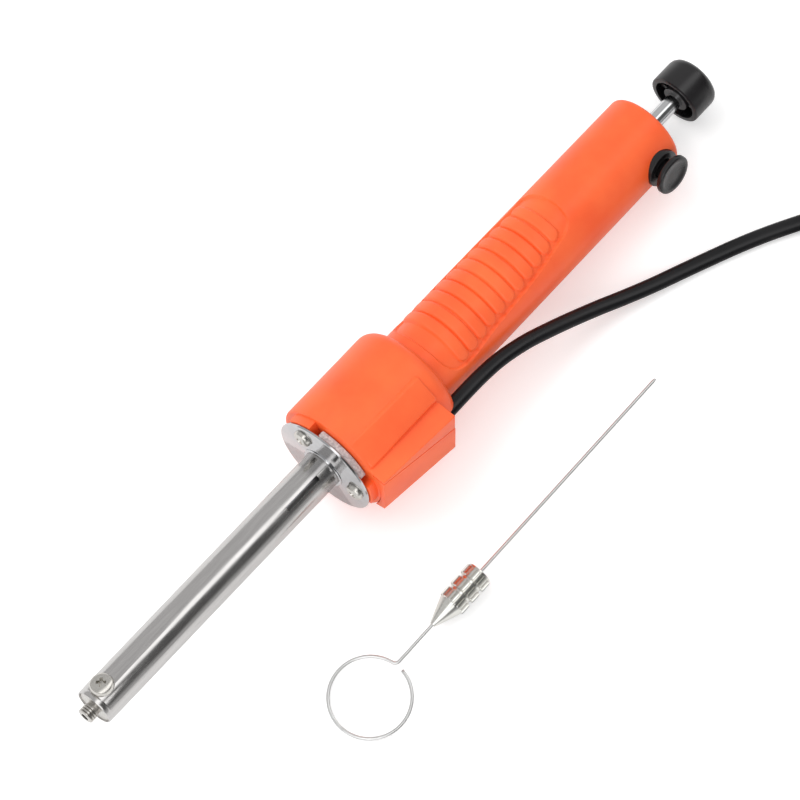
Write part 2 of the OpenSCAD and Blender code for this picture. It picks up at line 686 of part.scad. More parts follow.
// A raised flat beside the housing, from a crease near the top to the housing's top face
facet_shares = [[0.31, 0.975], [0.745, 0.717], [0.745, 0.64], [0.44, 0.64], [0.16, 0.88]];
module facet() {
    translate([box_x + front_wall, 0, 0]) rotate([90, 0, 90]) linear_extrude(height = box_l - front_wall)
        polygon([for (p = facet_shares) [-p[0] * head_r, p[1] * head_r]]);
}
module handle() color("orangered") lay() difference() {
    union() {
        difference() {
            union() {
                handle_shell();
                facet();
                difference() {
                    box_prism(0, 0, 0);
                    below_seam();
                }
            }
            rod(head_x + front_wall, cavity_end - head_x - front_wall, 2 * cavity_r);
            box_cavity();
        }
        for (k = [0 : 2]) turned(flange_screw_turn + 120 * k)
            sector(land_inner_r, land_r, land_half_turn, flange_back + fit, land_h + front_wall - fit);
        for (x = cover_screw_xs) at(x, cover_screw_side, -cavity_r) cylinder(h = cavity_r - post_top, d = post_d);
        block(clamp_x, clamp_x + clamp_l, clamp_side, clamp_side + clamp_w,
            cord_up + cord_t / 2 + seat_fit, box_top - box_wall / 2);
    }
    rod(head_x - cut, front_wall + 2 * cut, 2 * flange_hole_r);
    rod(cavity_end - cut, tail_x - cavity_end + 2 * cut, 2 * bore_r);
    flange_spots() rod(flange_back - cut, flange_screw_l - flange_t + cut + seat_fit, flange_screw_d - seat_fit);
    for (x = cover_screw_xs) at(x, cover_screw_side, -head_r - cut)
        cylinder(h = head_r + cut - post_top - 1, d = cover_screw_d + 2 * fit);
    at(clamp_x + clamp_l / 2, clamp_screw_side, 0) cylinder(h = box_top - box_wall, d = cover_screw_d + 2 * fit);
    turned(button_turn) translate([button_x, 0, 0]) cylinder(h = head_r, d = collar_d + 2 * fit);
    cord_slot();
}
// Cover of the terminal housing, with the foot that the iron lies on
foot_shares = [[0.9, 0.34], [0.92, 0.5], [0.8, 0.73], [0.58, 1.4], [-0.58, 1.4], [-0.72, 0.66]];
foot_back = 4.4;
module cover_foot() {
    difference() {
        translate([box_x + foot_back, 0, 0]) rotate([90, 0, 90]) linear_extrude(height = box_l - foot_back)
            polygon([for (p = foot_shares) [-p[0] * head_r, -p[1] * head_r]]);
        translate([rest_x, 0, -rest_drop]) rotate([0, -tilt, 0])
            translate([-head_d, -head_d, -head_d]) cube([2 * head_d, 2 * head_d, head_d]);
    }
}
module terminal_cover() color("orangered") lay() difference() {
    union() {
        box_prism(0, 0, 0);
        cover_foot();
    }
    above_seam(seam_gap);
    rod(head_x - cut, head_l, head_d + 2 * seat_fit);
    box_cavity();
    cord_slot();
    for (x = cover_screw_xs) at(x, cover_screw_side, -2 * head_r) {
        cylinder(h = 2 * head_r, d = cover_screw_d + 2 * seat_fit);
        cylinder(h = 2 * head_r - rest_depth(x) + cover_head_h + seat_fit, d = cover_head_d + 2 * seat_fit);
    }
}
module cover_screws() color("lightgray") lay() for (x = cover_screw_xs)
    at(x, cover_screw_side, cover_head_h + seat_fit - rest_depth(x) - fit) rotate([180, 0, 0])
        pan_screw(cover_head_d, cover_head_h, cover_screw_d - seat_fit, cover_screw_l);

// Wiring
module pole_spots() {
    for (k = [0, 1]) at(block_x, pole_side + k * pole_gap, pole_up) children();
}
screw_share = [0.3, 0.7];
module terminal_block() color("ivory") lay() difference() {
    block(block_x, block_x + block_l, block_side, block_side + block_w, block_up, block_up + block_h);
    pole_spots() {
        half = insert_w / 2 + fit;
        translate([-cut, -half, -half]) cube([block_l + 2 * cut, 2 * half, 2 * half]);
        for (s = screw_share) translate([block_l * s, 0, -block_h]) cylinder(h = block_h, d = terminal_head_d + 2 * fit);
    }
}
module terminal_inserts() color("gold") lay() pole_spots() difference() {
    inset = (block_l - insert_l) / 2;
    translate([inset, -insert_w / 2, -insert_w / 2]) cube([insert_l, insert_w, insert_w]);
    rod(-cut, block_l + 2 * cut, insert_bore);
    for (s = screw_share) translate([block_l * s, 0, -block_h]) cylinder(h = block_h, d = terminal_screw_d + 2 * fit);
}
module terminal_screws() color("silver") lay() pole_spots() for (s = screw_share)
    translate([block_l * s, 0, -insert_w / 2 - fit]) rotate([180, 0, 0])
        pan_screw(terminal_head_d, terminal_head_h, terminal_screw_d, insert_w / 2 - core_wire_d / 2 - 2 * fit);
module cord_cores() color("sienna") lay() for (k = [0, 1]) {
    start = [sheath_x - 0.5, -(cord_side + (k - 0.5) * core_gap), cord_up];
    entry = [block_x + block_l + 0.3, -(pole_side + k * pole_gap), pole_up];
    wire([start, start - [0.5 + 1.2 * k, 0, 0], entry + [0.6, 0, 0], entry], 0.25, core_d);
    rod_at(entry - [block_l / 3, 0, 0], block_l / 3 + 0.4, core_wire_d);
}
clamp_up = cord_up - cord_t / 2 - seat_fit - clamp_t;
module cord_clamp() color("black") lay() difference() {
    union() {
        block(clamp_x, clamp_x + clamp_l, clamp_side, clamp_side + clamp_w, clamp_up, clamp_up + clamp_t);
        block(clamp_x, clamp_x + clamp_l, clamp_side, clamp_screw_side + cover_screw_d / 2 + box_wall / 2,
            clamp_up, cord_up + cord_t / 2 + seat_fit - fit);
    }
    at(clamp_x + clamp_l / 2, clamp_screw_side, -head_r) cylinder(h = head_d, d = cover_screw_d + 2 * fit);
}
module clamp_screw() color("lightgray") lay()
    at(clamp_x + clamp_l / 2, clamp_screw_side, clamp_up - fit) rotate([180, 0, 0])
        pan_screw(cover_head_d, cover_head_h, cover_screw_d, clamp_screw_l);

// Pump
module pump_cylinder() color("lightsteelblue") lay() difference() {
    pipe(cylinder_x, cylinder_l, cylinder_d, 2 * cylinder_in_r);
    turned(button_turn) translate([button_x, 0, 0]) cylinder(h = cylinder_d, d = button_stem_d + 1);
}
module grooved_plug(x0, l, r, groove_at) {
    along_x(x0) rotate_extrude() polygon([[0, 0], [r, 0], [r, groove_at - seal_wire / 2 - fit],
        [r - seal_wire, groove_at - seal_wire / 2 - fit], [r - seal_wire, groove_at + seal_wire / 2 + fit],
        [r, groove_at + seal_wire / 2 + fit], [r, l], [0, l]]);
}
module seal_ring(x, r) {
    along_x(x) rotate_extrude() translate([r - seal_wire / 2 + fit / 2, 0]) circle(d = seal_wire, $fn = round_fn);
}
module front_plug() color("goldenrod") lay() difference() {
    grooved_plug(plug_in_x, plug_in_l, cylinder_in_r - fit, plug_in_l / 2);
    rod(plug_in_x - cut, plug_in_l + 2 * cut, tube_d + 2 * fit);
}
module front_seal() color("black") lay() seal_ring(plug_in_x + plug_in_l / 2, cylinder_in_r - fit);
module piston() color("white") lay() difference() {
    grooved_plug(piston_x, piston_l, cylinder_in_r - piston_gap, piston_l * 0.4);
    rod(piston_x + piston_l / 3, piston_l, rod_d + 2 * fit);
}
module piston_seal() color("black") lay() seal_ring(piston_x + piston_l * 0.4, cylinder_in_r - piston_gap);
module plunger_rod() color("silver") lay() {
    x0 = piston_x + piston_l / 3 + fit;
    end = knob_x + knob_l - knob_set;
    along_x() rotate_extrude() polygon([[0, x0], [rod_d / 2, x0], [rod_d / 2, button_x - groove_l / 2],
        [groove_d / 2, button_x - groove_l / 2], [groove_d / 2, button_x + groove_l / 2],
        [rod_d / 2, button_x + groove_l / 2], [rod_d / 2, end], [0, end]]);
}
module main_spring() color("gray") lay()
    helix_wire(spring_r, spring_x + fit, piston_x - spring_x - over_travel / 10 - 2 * fit, spring_turns, spring_wire);
module rear_bush() color("black") lay() difference() {
    x0 = cylinder_x + cylinder_l + fit;
    union() {
        rod(x0, bush_l, 2 * bore_r - 2 * fit);
        rod(x0, bush_l + bush_boss_l, 2 * bush_boss_r);
    }
    rod(x0 - cut, bush_l + bush_boss_l + 2 * cut, rod_d + 2 * fit);
}
module knob() color("black") lay() difference() {
    union() {
        along_x(knob_x) difference() {
            rotate_extrude() polygon(concat([[0, 0], [knob_d / 2 - chamfer, 0], [knob_d / 2, chamfer]],
                [for (a = [0 : 15 : 90]) [knob_d / 2 - knob_round * (1 - cos(a)), knob_l - knob_round * (1 - sin(a))]],
                [[0, knob_l]]));
            translate([0, 0, -cut]) cylinder(h = knob_l - knob_floor + cut, d = knob_d - 2 * knob_wall);
        }
        rod(knob_x + chamfer, knob_l - chamfer - knob_floor / 2, knob_hub_d);
        for (a = [0, 90]) turned(a) translate([knob_x + knob_wall, -knob_rib_w / 2, -knob_d / 2 + knob_wall / 2])
            cube([knob_l - knob_wall - knob_floor / 2, knob_rib_w, knob_d - knob_wall]);
    }
    rod(knob_x - cut, knob_l - knob_set + cut + fit, rod_d + 2 * fit);
}

// Release button and its latch
module at_button() {
    lay() turned(button_turn) translate([button_x, 0, 0]) children();
}
module button_collar() color("black") at_button() difference() {
    base = cylinder_d / 2 + fit;
    translate([0, 0, 0]) rotate_extrude() polygon([[0, 0], [collar_d / 2, 0], [collar_d / 2, collar_reach - chamfer],
        [collar_d / 2 - chamfer, collar_reach], [0, collar_reach]]);
    translate([-collar_d, 0, 0]) rotate([0, 90, 0]) cylinder(h = 2 * collar_d, r = base);
    cylinder(h = head_r, d = button_stem_d + 4 * fit);
}
module release_button() color("black") at_button() {
    disc_low = button_reach - button_disc_t;
    rotate_extrude() polygon([[0, plate_out + fit], [button_stem_d / 2, plate_out + fit],
        [button_stem_d / 2, disc_low], [button_d / 2 - chamfer, disc_low], [button_d / 2, disc_low + chamfer],
        [button_d / 2, button_reach - chamfer], [button_d / 2 - chamfer, button_reach],
        [button_d * 0.4, button_reach], [button_d * 0.3, button_reach - chamfer], [0, button_reach - chamfer]]);
}
module latch_plate() color("silver") at_button() difference() {
    union() {
        translate([-plate_t / 2, -plate_w / 2, -plate_in]) cube([plate_t, plate_w, plate_in + plate_out]);
        translate([-tab_w / 2, -tab_w / 2, -plate_in]) cube([tab_w, tab_w, tab_t]);
    }
    rod(-cut - plate_t, 2 * plate_t + 2 * cut, rod_d + 4 * fit);
    translate([0, 0, button_travel]) rod(-cut - plate_t, 2 * plate_t + 2 * cut, rod_d + 4 * fit);
    translate([-plate_t, -rod_d / 2 - 2 * fit, 0]) cube([2 * plate_t, rod_d + 4 * fit, button_travel]);
}
module button_spring() color("gray") at_button()
    rotate([0, 90, 0]) helix_wire(button_spring_r, plate_in + fit,
        sqrt(pow(cylinder_in_r, 2) - pow(button_spring_r + button_wire, 2)) - plate_in - 2 * fit, button_turns, button_wire);

// Nozzle and cleaning needle
foot_to_tip = rest_x * cos(tilt) - rest_drop * sin(tilt);
needle_start = ring_r + (ring_r + bend_r) * cos(ring_turn_start);
ring_shift = bend_r - (ring_r + bend_r) * sin(ring_turn_start);
needle_rise = atan((nozzle_d / 2 - needle_wire / 2) / (nozzle_tip_gap + nozzle_cone_l + needle_start));
// The ring's far edge is the needle's origin: it lies on the table
module at_needle() {
    translate([ring_back - ring_r - foot_to_tip, -needle_side, needle_wire / 2])
        rotate([0, -needle_rise, -needle_yaw]) children();
}
nozzle_x = needle_start + nozzle_tip_gap;
// The wire's line: round the finger ring, through the bend and straight on to the point
ring_steps = 38;
bend_steps = 8;
function arc_point(centre, r, angle) = [centre[0] + r * cos(angle), centre[1] + r * sin(angle), 0];
needle_path = concat(
    [for (i = [0 : ring_steps]) arc_point([ring_r, ring_shift], ring_r,
        ring_turn_end + (ring_turn_start - ring_turn_end) * i / ring_steps)],
    [for (i = [1 : bend_steps]) arc_point([needle_start, bend_r], bend_r,
        180 + ring_turn_start + (90 - ring_turn_start) * i / bend_steps)],
    [[needle_start + needle_l, 0, 0]]);
module cleaning_needle() color("gainsboro") at_needle()
    sweep(needle_path, plan_sides(needle_path), needle_wire, needle_wire, 10);
module nozzle() color("lightgray") at_needle() difference() {
    band = (nozzle_body_l - 2 * groove_w - 2 * chamfer) / band_count;
    body_r = nozzle_d / 2 - knurl_depth;
    mouth = nozzle_cone_l + nozzle_body_l;
    union() {
        along_x(nozzle_x) rotate_extrude() polygon([[0, 0], [nozzle_tip_d / 2, 0], [nozzle_tip_d / 2, chamfer],
            [body_r, nozzle_cone_l], [body_r, mouth], [0, mouth]]);
        for (i = [0 : band_count - 1]) along_x(nozzle_x + nozzle_cone_l + chamfer + i * (band + groove_w))
            difference() {
                cylinder(h = band, d = nozzle_d);
                for (k = [0 : knurl_count - 1]) rotate([0, 0, 360 * k / knurl_count]) translate([nozzle_d / 2, 0, -cut])
                    rotate([0, 0, 45]) translate([-knurl_depth / 2, -knurl_depth / 2, 0])
                        cube([knurl_depth, knurl_depth, band + 2 * cut]);
            }
    }
    rod(nozzle_x - cut, mouth + cut, nozzle_hole_d);
    rod(nozzle_x + mouth - thread_l, thread_l + cut, stub_d + 2 * fit);
}

// Cord
module cord() color("black") sweep(CORD_ROUTE, plan_sides(CORD_ROUTE), cord_w, cord_t, 8);
module cord_coil() color("black") sweep(wound_path, wound_sides, cord_w, cord_t, 6);
module cord_tie() color("white") {
    inner = coil_r - coil_pitch * (coil_layer_turns - tie_turn / 360) - cord_w / 2 - coil_gap;
    outer = coil_r + cord_w / 2 + coil_rest;
    top = coil_high + cord_t / 2 + coil_rest;
    translate([coil_centre[0], coil_centre[1], 0]) rotate([0, 0, coil_start + tie_turn]) rotate([90, 0, 0])
        translate([0, 0, -tie_w / 2]) linear_extrude(height = tie_w) difference() {
            translate([inner - tie_t, 0]) square([outer - inner + 2 * tie_t, top + tie_t]);
            translate([inner, tie_t]) square([outer - inner, top - tie_t]);
        }
}
module at_plug() {
    translate(tail_path[len(tail_path) - 1]) rotate([0, 0, tail_turn - tail_sweep - 90]) children();
}
module plug_outline(w, l, r) {
    translate([0, -w / 2 + r]) square([l, w - 2 * r]);
    translate([r, -w / 2]) square([l - 2 * r, w]);
    for (x = [r, l - r], s = [-1, 1]) translate([x, s * (w / 2 - r)]) circle(r = r, $fn = round_fn);
}
module plug_body() color("black") at_plug() difference() {
    union() {
        translate([plug_neck_l, 0, -plug_t / 2]) linear_extrude(height = plug_t) plug_outline(plug_w, plug_l, plug_round);
        along_x(0) cylinder(h = plug_neck_l + plug_round, d1 = plug_neck_t, d2 = plug_neck_w);
    }
    for (s = [-1, 1]) translate([0, s * pin_gap / 2, 0]) rod(plug_neck_l + plug_l - pin_root_l, plug_l, pin_root_d + 2 * fit);
}
// Each pin has a thinner root inside the plug and a shoulder just outside its face
module plug_pins() color("silver") at_plug() for (s = [-1, 1]) translate([0, s * pin_gap / 2, 0])
    along_x(plug_neck_l + plug_l - pin_root_l + fit) rotate_extrude() polygon([[0, 0], [pin_root_d / 2, 0],
        [pin_root_d / 2, pin_root_l + fit], [pin_d / 2, pin_root_l + fit],
        [pin_d / 2, pin_l + pin_root_l - pin_round], [pin_d / 2 - pin_round, pin_l + pin_root_l],
        [0, pin_l + pin_root_l]]);

barrel();
mounting_flange();
flange_screws();
flange_gasket();
nozzle_seat();
tip_screw();
suction_tube();
heater_core();
heater_winding();
heater_sleeve();
heater_leads();
handle();
terminal_cover();
cover_screws();
terminal_block();
terminal_inserts();
terminal_screws();
cord_cores();
cord_clamp();
clamp_screw();
pump_cylinder();
front_plug();
front_seal();
piston();
piston_seal();
plunger_rod();
main_spring();
rear_bush();
knob();
button_collar();
release_button();
latch_plate();
button_spring();
nozzle();
cleaning_needle();
cord();
cord_coil();
cord_tie();
plug_body();
plug_pins();
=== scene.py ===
# %% [markdown]
# # A desoldering iron, dressed over its CAD model
#
# The real object is a mains desoldering iron: a steel barrel with a heater inside, a bright
# orange handle that hides a spring pump, a black release button and plunger knob, a flat cord,
# and a wire cleaning needle with the nozzle threaded on it. The CAD model gives every piece its
# size and place. Here the pieces that show are modelled again with softer edges and finer
# detail, and all of them get their finishes. Sizes are written in millimetres, as in a drawing,
# and MM turns them into metres, which is what the frame uses.

# %% Open the frame
import math

import bmesh
import bpy
from mathutils import Matrix, Vector


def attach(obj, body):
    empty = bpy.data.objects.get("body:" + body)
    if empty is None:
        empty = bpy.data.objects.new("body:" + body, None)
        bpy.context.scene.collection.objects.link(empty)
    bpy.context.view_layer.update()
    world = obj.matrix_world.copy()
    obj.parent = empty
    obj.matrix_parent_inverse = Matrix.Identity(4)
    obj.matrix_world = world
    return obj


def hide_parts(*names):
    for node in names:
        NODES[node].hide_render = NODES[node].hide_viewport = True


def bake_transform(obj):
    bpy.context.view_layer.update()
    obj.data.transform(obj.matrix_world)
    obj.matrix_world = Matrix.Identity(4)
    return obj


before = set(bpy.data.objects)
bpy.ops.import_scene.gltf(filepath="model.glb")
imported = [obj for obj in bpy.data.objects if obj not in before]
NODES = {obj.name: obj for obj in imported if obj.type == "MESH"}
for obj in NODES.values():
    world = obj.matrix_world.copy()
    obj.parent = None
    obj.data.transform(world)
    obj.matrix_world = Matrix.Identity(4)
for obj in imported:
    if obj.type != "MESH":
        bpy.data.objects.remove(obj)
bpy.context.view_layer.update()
MM = 0.001


# %% [markdown]
# ## Camera
#
# The photograph is taken from high above, from the barrel's side, with a long lens. Its place
# was worked out from the lengths and widths of the round parts. A camera is easier to aim with
# a target point than with angles, so it's turned to look at one, and the lens is given as if
# the sensor were 36 mm wide, which is what Blender expects for a square picture too.

# %% Aim the camera
CAMERA_AT = Vector((-353.6, -322.6, 1397.1)) * MM
CAMERA_AIM = Vector((14.2, -1.5, 15.0)) * MM
LENS = 231.45

camera_data = bpy.data.cameras.new("camera")
camera_data.lens = LENS
camera_data.sensor_width = 36
camera_data.clip_start = 0.05
camera = bpy.data.objects.new("camera", camera_data)
bpy.context.scene.collection.objects.link(camera)
camera.location = CAMERA_AT
camera.rotation_euler = (CAMERA_AIM - CAMERA_AT).to_track_quat("-Z", "Y").to_euler()
bpy.context.scene.camera = camera
bpy.context.scene.view_settings.view_transform = "Standard"
print("camera distance:", round((CAMERA_AIM - CAMERA_AT).length, 3), "m")

# %% [markdown]
# ## Where the iron lies
#
# The iron is drawn along its own axis: x runs from the barrel's front end to the knob, "side"
# runs towards the terminal housing and "up" is up. It rests on the flat foot of the cover and
# on the rear end of the handle, so it's tipped by a few degrees. One matrix does that for each
# piece, and it's baked into the mesh, so that the finished objects sit at the origin.

# %% Tip a piece onto the table
REST_X = 114.5
REST_DROP = 20.4
TAIL_X = 238.3
TAIL_R = 12.5
TAIL_EDGE = 1.5
TILT = math.atan((REST_DROP - TAIL_R) / (TAIL_X - TAIL_EDGE - REST_X))
LAY = Matrix.Rotation(TILT, 4, "Y") @ Matrix.Translation(Vector((-REST_X, 0, REST_DROP)) * MM)


def around(angle):
    """Turns a thing built on top of the axis towards the housing side, by an angle in degrees."""
    return Matrix.Rotation(math.radians(angle), 4, "X")


def shift(x=0.0, side=0.0, up=0.0):
    """Moves a thing in the iron's own directions."""
    return Matrix.Translation(Vector((x, -side, up)) * MM)


print("tilt of the iron:", round(math.degrees(TILT), 2), "degrees")

# %% [markdown]
# ## The cord's route
#
# The cord is a flat twin cord. It leaves the rear of the terminal housing, sinks to the table
# beside the handle and runs out of the picture. What the picture doesn't show is wound into a
# flat coil of two layers, as it would lie in a drawer, and ends in the plug. A cord keeps its
# length and bends gently, so it's swept along one line of points instead of being modelled by
# hand. The points are the same as in the CAD model.

# %% Lay out the route
CORD_W = 4.8
CORD_T = 3.0
CORD_ROUTE = [
    (8, -15.8, 24.1), (16.6, -15.8, 23.6), (25, -15.7, 23), (33, -15.7, 22), (41, -16.1, 20.3),
    (50, -17.4, 17.4), (58, -19.2, 14), (66, -21.3, 10.5), (75, -24.1, 7), (83, -27.1, 4.6),
    (92, -30.6, 2.9), (101, -34, 2), (110, -37.6, 1.6), (119, -41.5, 1.6), (127, -45.4, 1.6),
    (135, -49.8, 1.7), (142.5, -54.3, 1.9), (150, -58.8, 2.1), (160, -64.8, 2.2),
]
route = [Vector(p) for p in CORD_ROUTE]


def smooth_line(points, steps):
    """A curve through the points, with so many steps between two of them."""
    line = []
    for i in range(len(points) - 1):
        a = points[max(i - 1, 0)]
        b, c = points[i], points[i + 1]
        d = points[min(i + 2, len(points) - 1)]
        for k in range(steps):
            t = k / steps
            line.append(0.5 * (
                2 * b + (c - a) * t + (2 * a - 5 * b + 4 * c - d) * t * t
                + (3 * b - a - 3 * c + d) * t ** 3
            ))
    line.append(points[-1].copy())
    return line


route_line = smooth_line(route, 4)
print("route:", len(route_line), "points, its end at", tuple(round(v, 1) for v in route_line[-1]))

# %% [markdown]
# The coil starts where the route ends and in the same direction. It spirals in on the table and
# out again on the layer above, with one climb in the middle.

# %% Wind the coil
COIL_R = 35.0
COIL_GAP = 0.5
LAYER_TURNS = 3
COIL_LOW = 2.2
COIL_HIGH = COIL_LOW + CORD_T + COIL_GAP
COIL_PITCH = CORD_W + COIL_GAP
CLIMB = 0.25
TURN_STEPS = 48
step = route[-1] - route[-2]
COIL_START = math.atan2(step.y, step.x) + math.pi / 2


def on_circle(centre, radius, angle, z):
    """A point on a level circle at a height of its own."""
    return Vector((centre.x + radius * math.cos(angle), centre.y + radius * math.sin(angle), z))


COIL_CENTRE = on_circle(route[-1], -COIL_R, COIL_START, route[-1].z)


def soft_step(value):
    """0 below 0, 1 above 1, and a smooth rise between."""
    value = min(max(value, 0), 1)
    return value * value * (3 - 2 * value)


def coil_point(turn):
    """A point on the coil's line after so many turns: in on the low layer, out on the high one."""
    inward = turn if turn < LAYER_TURNS else 2 * LAYER_TURNS - turn
    rise = soft_step((turn - LAYER_TURNS + CLIMB) / (2 * CLIMB))
    return on_circle(
        COIL_CENTRE, COIL_R - COIL_PITCH * inward, COIL_START - 2 * math.pi * turn,
        COIL_LOW + (COIL_HIGH - COIL_LOW) * rise,
    )


coil_line = [coil_point(i / TURN_STEPS) for i in range(2 * LAYER_TURNS * TURN_STEPS + 1)]
print("coil:", 2 * LAYER_TURNS, "turns round", tuple(round(v, 1) for v in COIL_CENTRE.xy))

# %% [markdown]
# The last bit of cord climbs onto the coil and turns inwards, so that the plug lies across the
# coil's top. Then route, coil and tail are joined into one line.

# %% Lead the cord to its plug
RISE_TURNS = 0.08
RISE_SHARES = (0.11, 0.38, 0.7, 1)
TAIL_BEND = 20.0
TAIL_SWEEP = math.radians(120)
TAIL_STEPS = 12
PLUG_T = 13.5
RIDE_Z = COIL_HIGH + CORD_T + COIL_GAP
PLUG_Z = COIL_HIGH + CORD_T / 2 + COIL_GAP / 2 + PLUG_T / 2

tail = [coil_line[-1]]
for i, share in enumerate(RISE_SHARES):
    angle = COIL_START - 2 * math.pi * RISE_TURNS * (i + 1) / len(RISE_SHARES)
    tail.append(on_circle(COIL_CENTRE, COIL_R, angle, COIL_HIGH + (RIDE_Z - COIL_HIGH) * share))
TAIL_TURN = COIL_START - 2 * math.pi * RISE_TURNS
tail_centre = on_circle(COIL_CENTRE, COIL_R - TAIL_BEND, TAIL_TURN, 0)
for i in range(1, TAIL_STEPS + 1):
    done = i / TAIL_STEPS
    tail.append(on_circle(
        tail_centre, TAIL_BEND, TAIL_TURN - TAIL_SWEEP * done, RIDE_Z + (PLUG_Z - RIDE_Z) * done,
    ))
cord_line = route_line[:-1] + coil_line[:-1] + smooth_line(tail, 3)

# %% [markdown]
# ## Finishes
#
# Every finish is built from shader nodes. A helper makes the plain shader, and small helpers add
# what makes a surface look real: grain in the bump, blotches in the roughness, and streaks where
# a tool went along a metal. Patterns read Object coordinates, which are the row's own frame, so
# they stay on the piece when it moves.

# %% Shader helpers
def shader(name, colour, roughness, metallic=0.0, **sockets):
    """A material with its Principled node set, ready for more nodes."""
    material = bpy.data.materials.new(name)
    material.use_nodes = True
    node = material.node_tree.nodes["Principled BSDF"]
    node.inputs["Base Color"].default_value = (*colour, 1)
    node.inputs["Roughness"].default_value = roughness
    node.inputs["Metallic"].default_value = metallic
    for key, value in sockets.items():
        node.inputs[key.replace("_", " ")].default_value = value
    return material


def add_noise(material, scale, detail=3.0, stretch=(1, 1, 1), turn=0.0):
    """A noise texture on Object coordinates, scaled per metre; it can be stretched into streaks."""
    tree = material.node_tree
    place = tree.nodes.new("ShaderNodeTexCoord")
    mapping = tree.nodes.new("ShaderNodeMapping")
    mapping.inputs["Rotation"].default_value = (0, turn, 0)
    mapping.inputs["Scale"].default_value = stretch
    texture = tree.nodes.new("ShaderNodeTexNoise")
    texture.inputs["Scale"].default_value = scale
    texture.inputs["Detail"].default_value = detail
    tree.links.new(place.outputs["Object"], mapping.inputs["Vector"])
    tree.links.new(mapping.outputs["Vector"], texture.inputs["Vector"])
    return texture.outputs["Fac"]


def add_range(material, source, low, high):
    """Maps a pattern's middle range onto low to high."""
    node = material.node_tree.nodes.new("ShaderNodeMapRange")
    node.inputs["From Min"].default_value = 0.3
    node.inputs["From Max"].default_value = 0.7
    node.inputs["To Min"].default_value = low
    node.inputs["To Max"].default_value = high
    material.node_tree.links.new(source, node.inputs["Value"])
    return node.outputs["Result"]


def into(material, source, socket):
    """Feeds a pattern into one of the shader's sockets."""
    node = material.node_tree.nodes["Principled BSDF"]
    material.node_tree.links.new(source, node.inputs[socket])


def add_bump(material, source, height, strength=1.0):
    """Turns a pattern into relief of so many metres."""
    tree = material.node_tree
    node = tree.nodes.new("ShaderNodeBump")
    node.inputs["Distance"].default_value = height
    node.inputs["Strength"].default_value = strength
    shade = tree.nodes["Principled BSDF"]
    if shade.inputs["Normal"].is_linked:
        tree.links.new(shade.inputs["Normal"].links[0].from_socket, node.inputs["Normal"])
    tree.links.new(source, node.inputs["Height"])
    tree.links.new(node.outputs["Normal"], shade.inputs["Normal"])


def tint(material, source, dark, light):
    """Blends two colours by a pattern."""
    node = material.node_tree.nodes.new("ShaderNodeMix")
    node.data_type = "RGBA"
    node.inputs[6].default_value = (*dark, 1)
    node.inputs[7].default_value = (*light, 1)
    material.node_tree.links.new(source, node.inputs[0])
    into(material, node.outputs[2], "Base Color")


print("shader helpers ready")

# %% [markdown]
# The handle is injection-moulded in a bright orange plastic. It's satin rather than glossy: the
# mould had a very fine grain, so highlights are wide and soft. The knob, button and collar are
# a harder black plastic with a slightly sharper shine.

# %% Plastics
def moulded(name, dark, light, roughness, grain):
    """A moulded plastic: fine grain, and patches where hands have polished it."""
    material = shader(name, light, roughness)
    patches = add_noise(material, 60, 4)
    tint(material, add_range(material, patches, 0, 1), dark, light)
    into(material, add_range(material, patches, roughness - 0.05, roughness + 0.06), "Roughness")
    add_bump(material, add_noise(material, 2600, 2), grain)
    return material


orange_plastic = moulded("orange_plastic", (0.93, 0.105, 0.022), (1.0, 0.150, 0.034), 0.40, 1.2e-5)
black_plastic = moulded(
    "black_plastic", (0.007, 0.0065, 0.007), (0.012, 0.011, 0.012), 0.26, 0.8e-5,
)
cord_pvc = moulded("cord_pvc", (0.005, 0.005, 0.006), (0.009, 0.009, 0.010), 0.28, 1.0e-5)
cord_pvc.node_tree.nodes["Principled BSDF"].inputs["Specular IOR Level"].default_value = 0.32
white_plastic = moulded("white_plastic", (0.78, 0.76, 0.70), (0.86, 0.85, 0.80), 0.45, 1e-5)
tie_paper = moulded("tie_paper", (0.74, 0.73, 0.70), (0.85, 0.84, 0.81), 0.75, 3e-5)
rubber = moulded("rubber", (0.012, 0.012, 0.012), (0.02, 0.02, 0.02), 0.6, 2e-5)
print("plastics ready")

# %% [markdown]
# The metals differ by how they were finished. The barrel is a drawn and polished steel tube, so
# its finest marks run along it. The flange is stamped from bright sheet. Screws and nozzle are
# plated, which leaves them a little milky. One helper makes all of them: streaks for the tool
# marks, and patches for handling.

# %% Metals
def metal(name, colour, roughness, streak=(1, 1, 1), marks=900, relief=4e-6):
    """A worked metal, with its tool marks running along the streak's small direction."""
    material = shader(name, colour, roughness, 1.0)
    lines = add_noise(material, marks, 3, streak, -TILT)
    patches = add_noise(material, 90, 3)
    into(material, add_range(material, patches, roughness * 0.8, roughness * 1.3), "Roughness")
    darker = tuple(v * 0.9 for v in colour)
    tint(material, add_range(material, lines, 0, 1), darker, colour)
    add_bump(material, lines, relief)
    return material


barrel_steel = metal("barrel_steel", (0.62, 0.605, 0.595), 0.2, (0.03, 1, 1), 1500, 3e-6)
polished_steel = metal("polished_steel", (0.62, 0.62, 0.63), 0.1, (1, 1, 1), 700, 2e-6)
screw_steel = metal("screw_steel", (0.68, 0.66, 0.62), 0.24)
plated_brass = metal("plated_brass", (0.60, 0.58, 0.55), 0.28)
nozzle_steel = metal("nozzle_steel", (0.80, 0.79, 0.75), 0.22)
needle_steel = metal("needle_steel", (0.84, 0.84, 0.83), 0.32, (0.05, 1, 1))
rod_steel = metal("rod_steel", (0.74, 0.74, 0.75), 0.16, (0.05, 1, 1))
spring_steel = metal("spring_steel", (0.45, 0.45, 0.46), 0.3)
inner_steel = metal("inner_steel", (0.58, 0.58, 0.59), 0.35, (0.05, 1, 1))
brass = metal("brass", (0.78, 0.56, 0.25), 0.28)
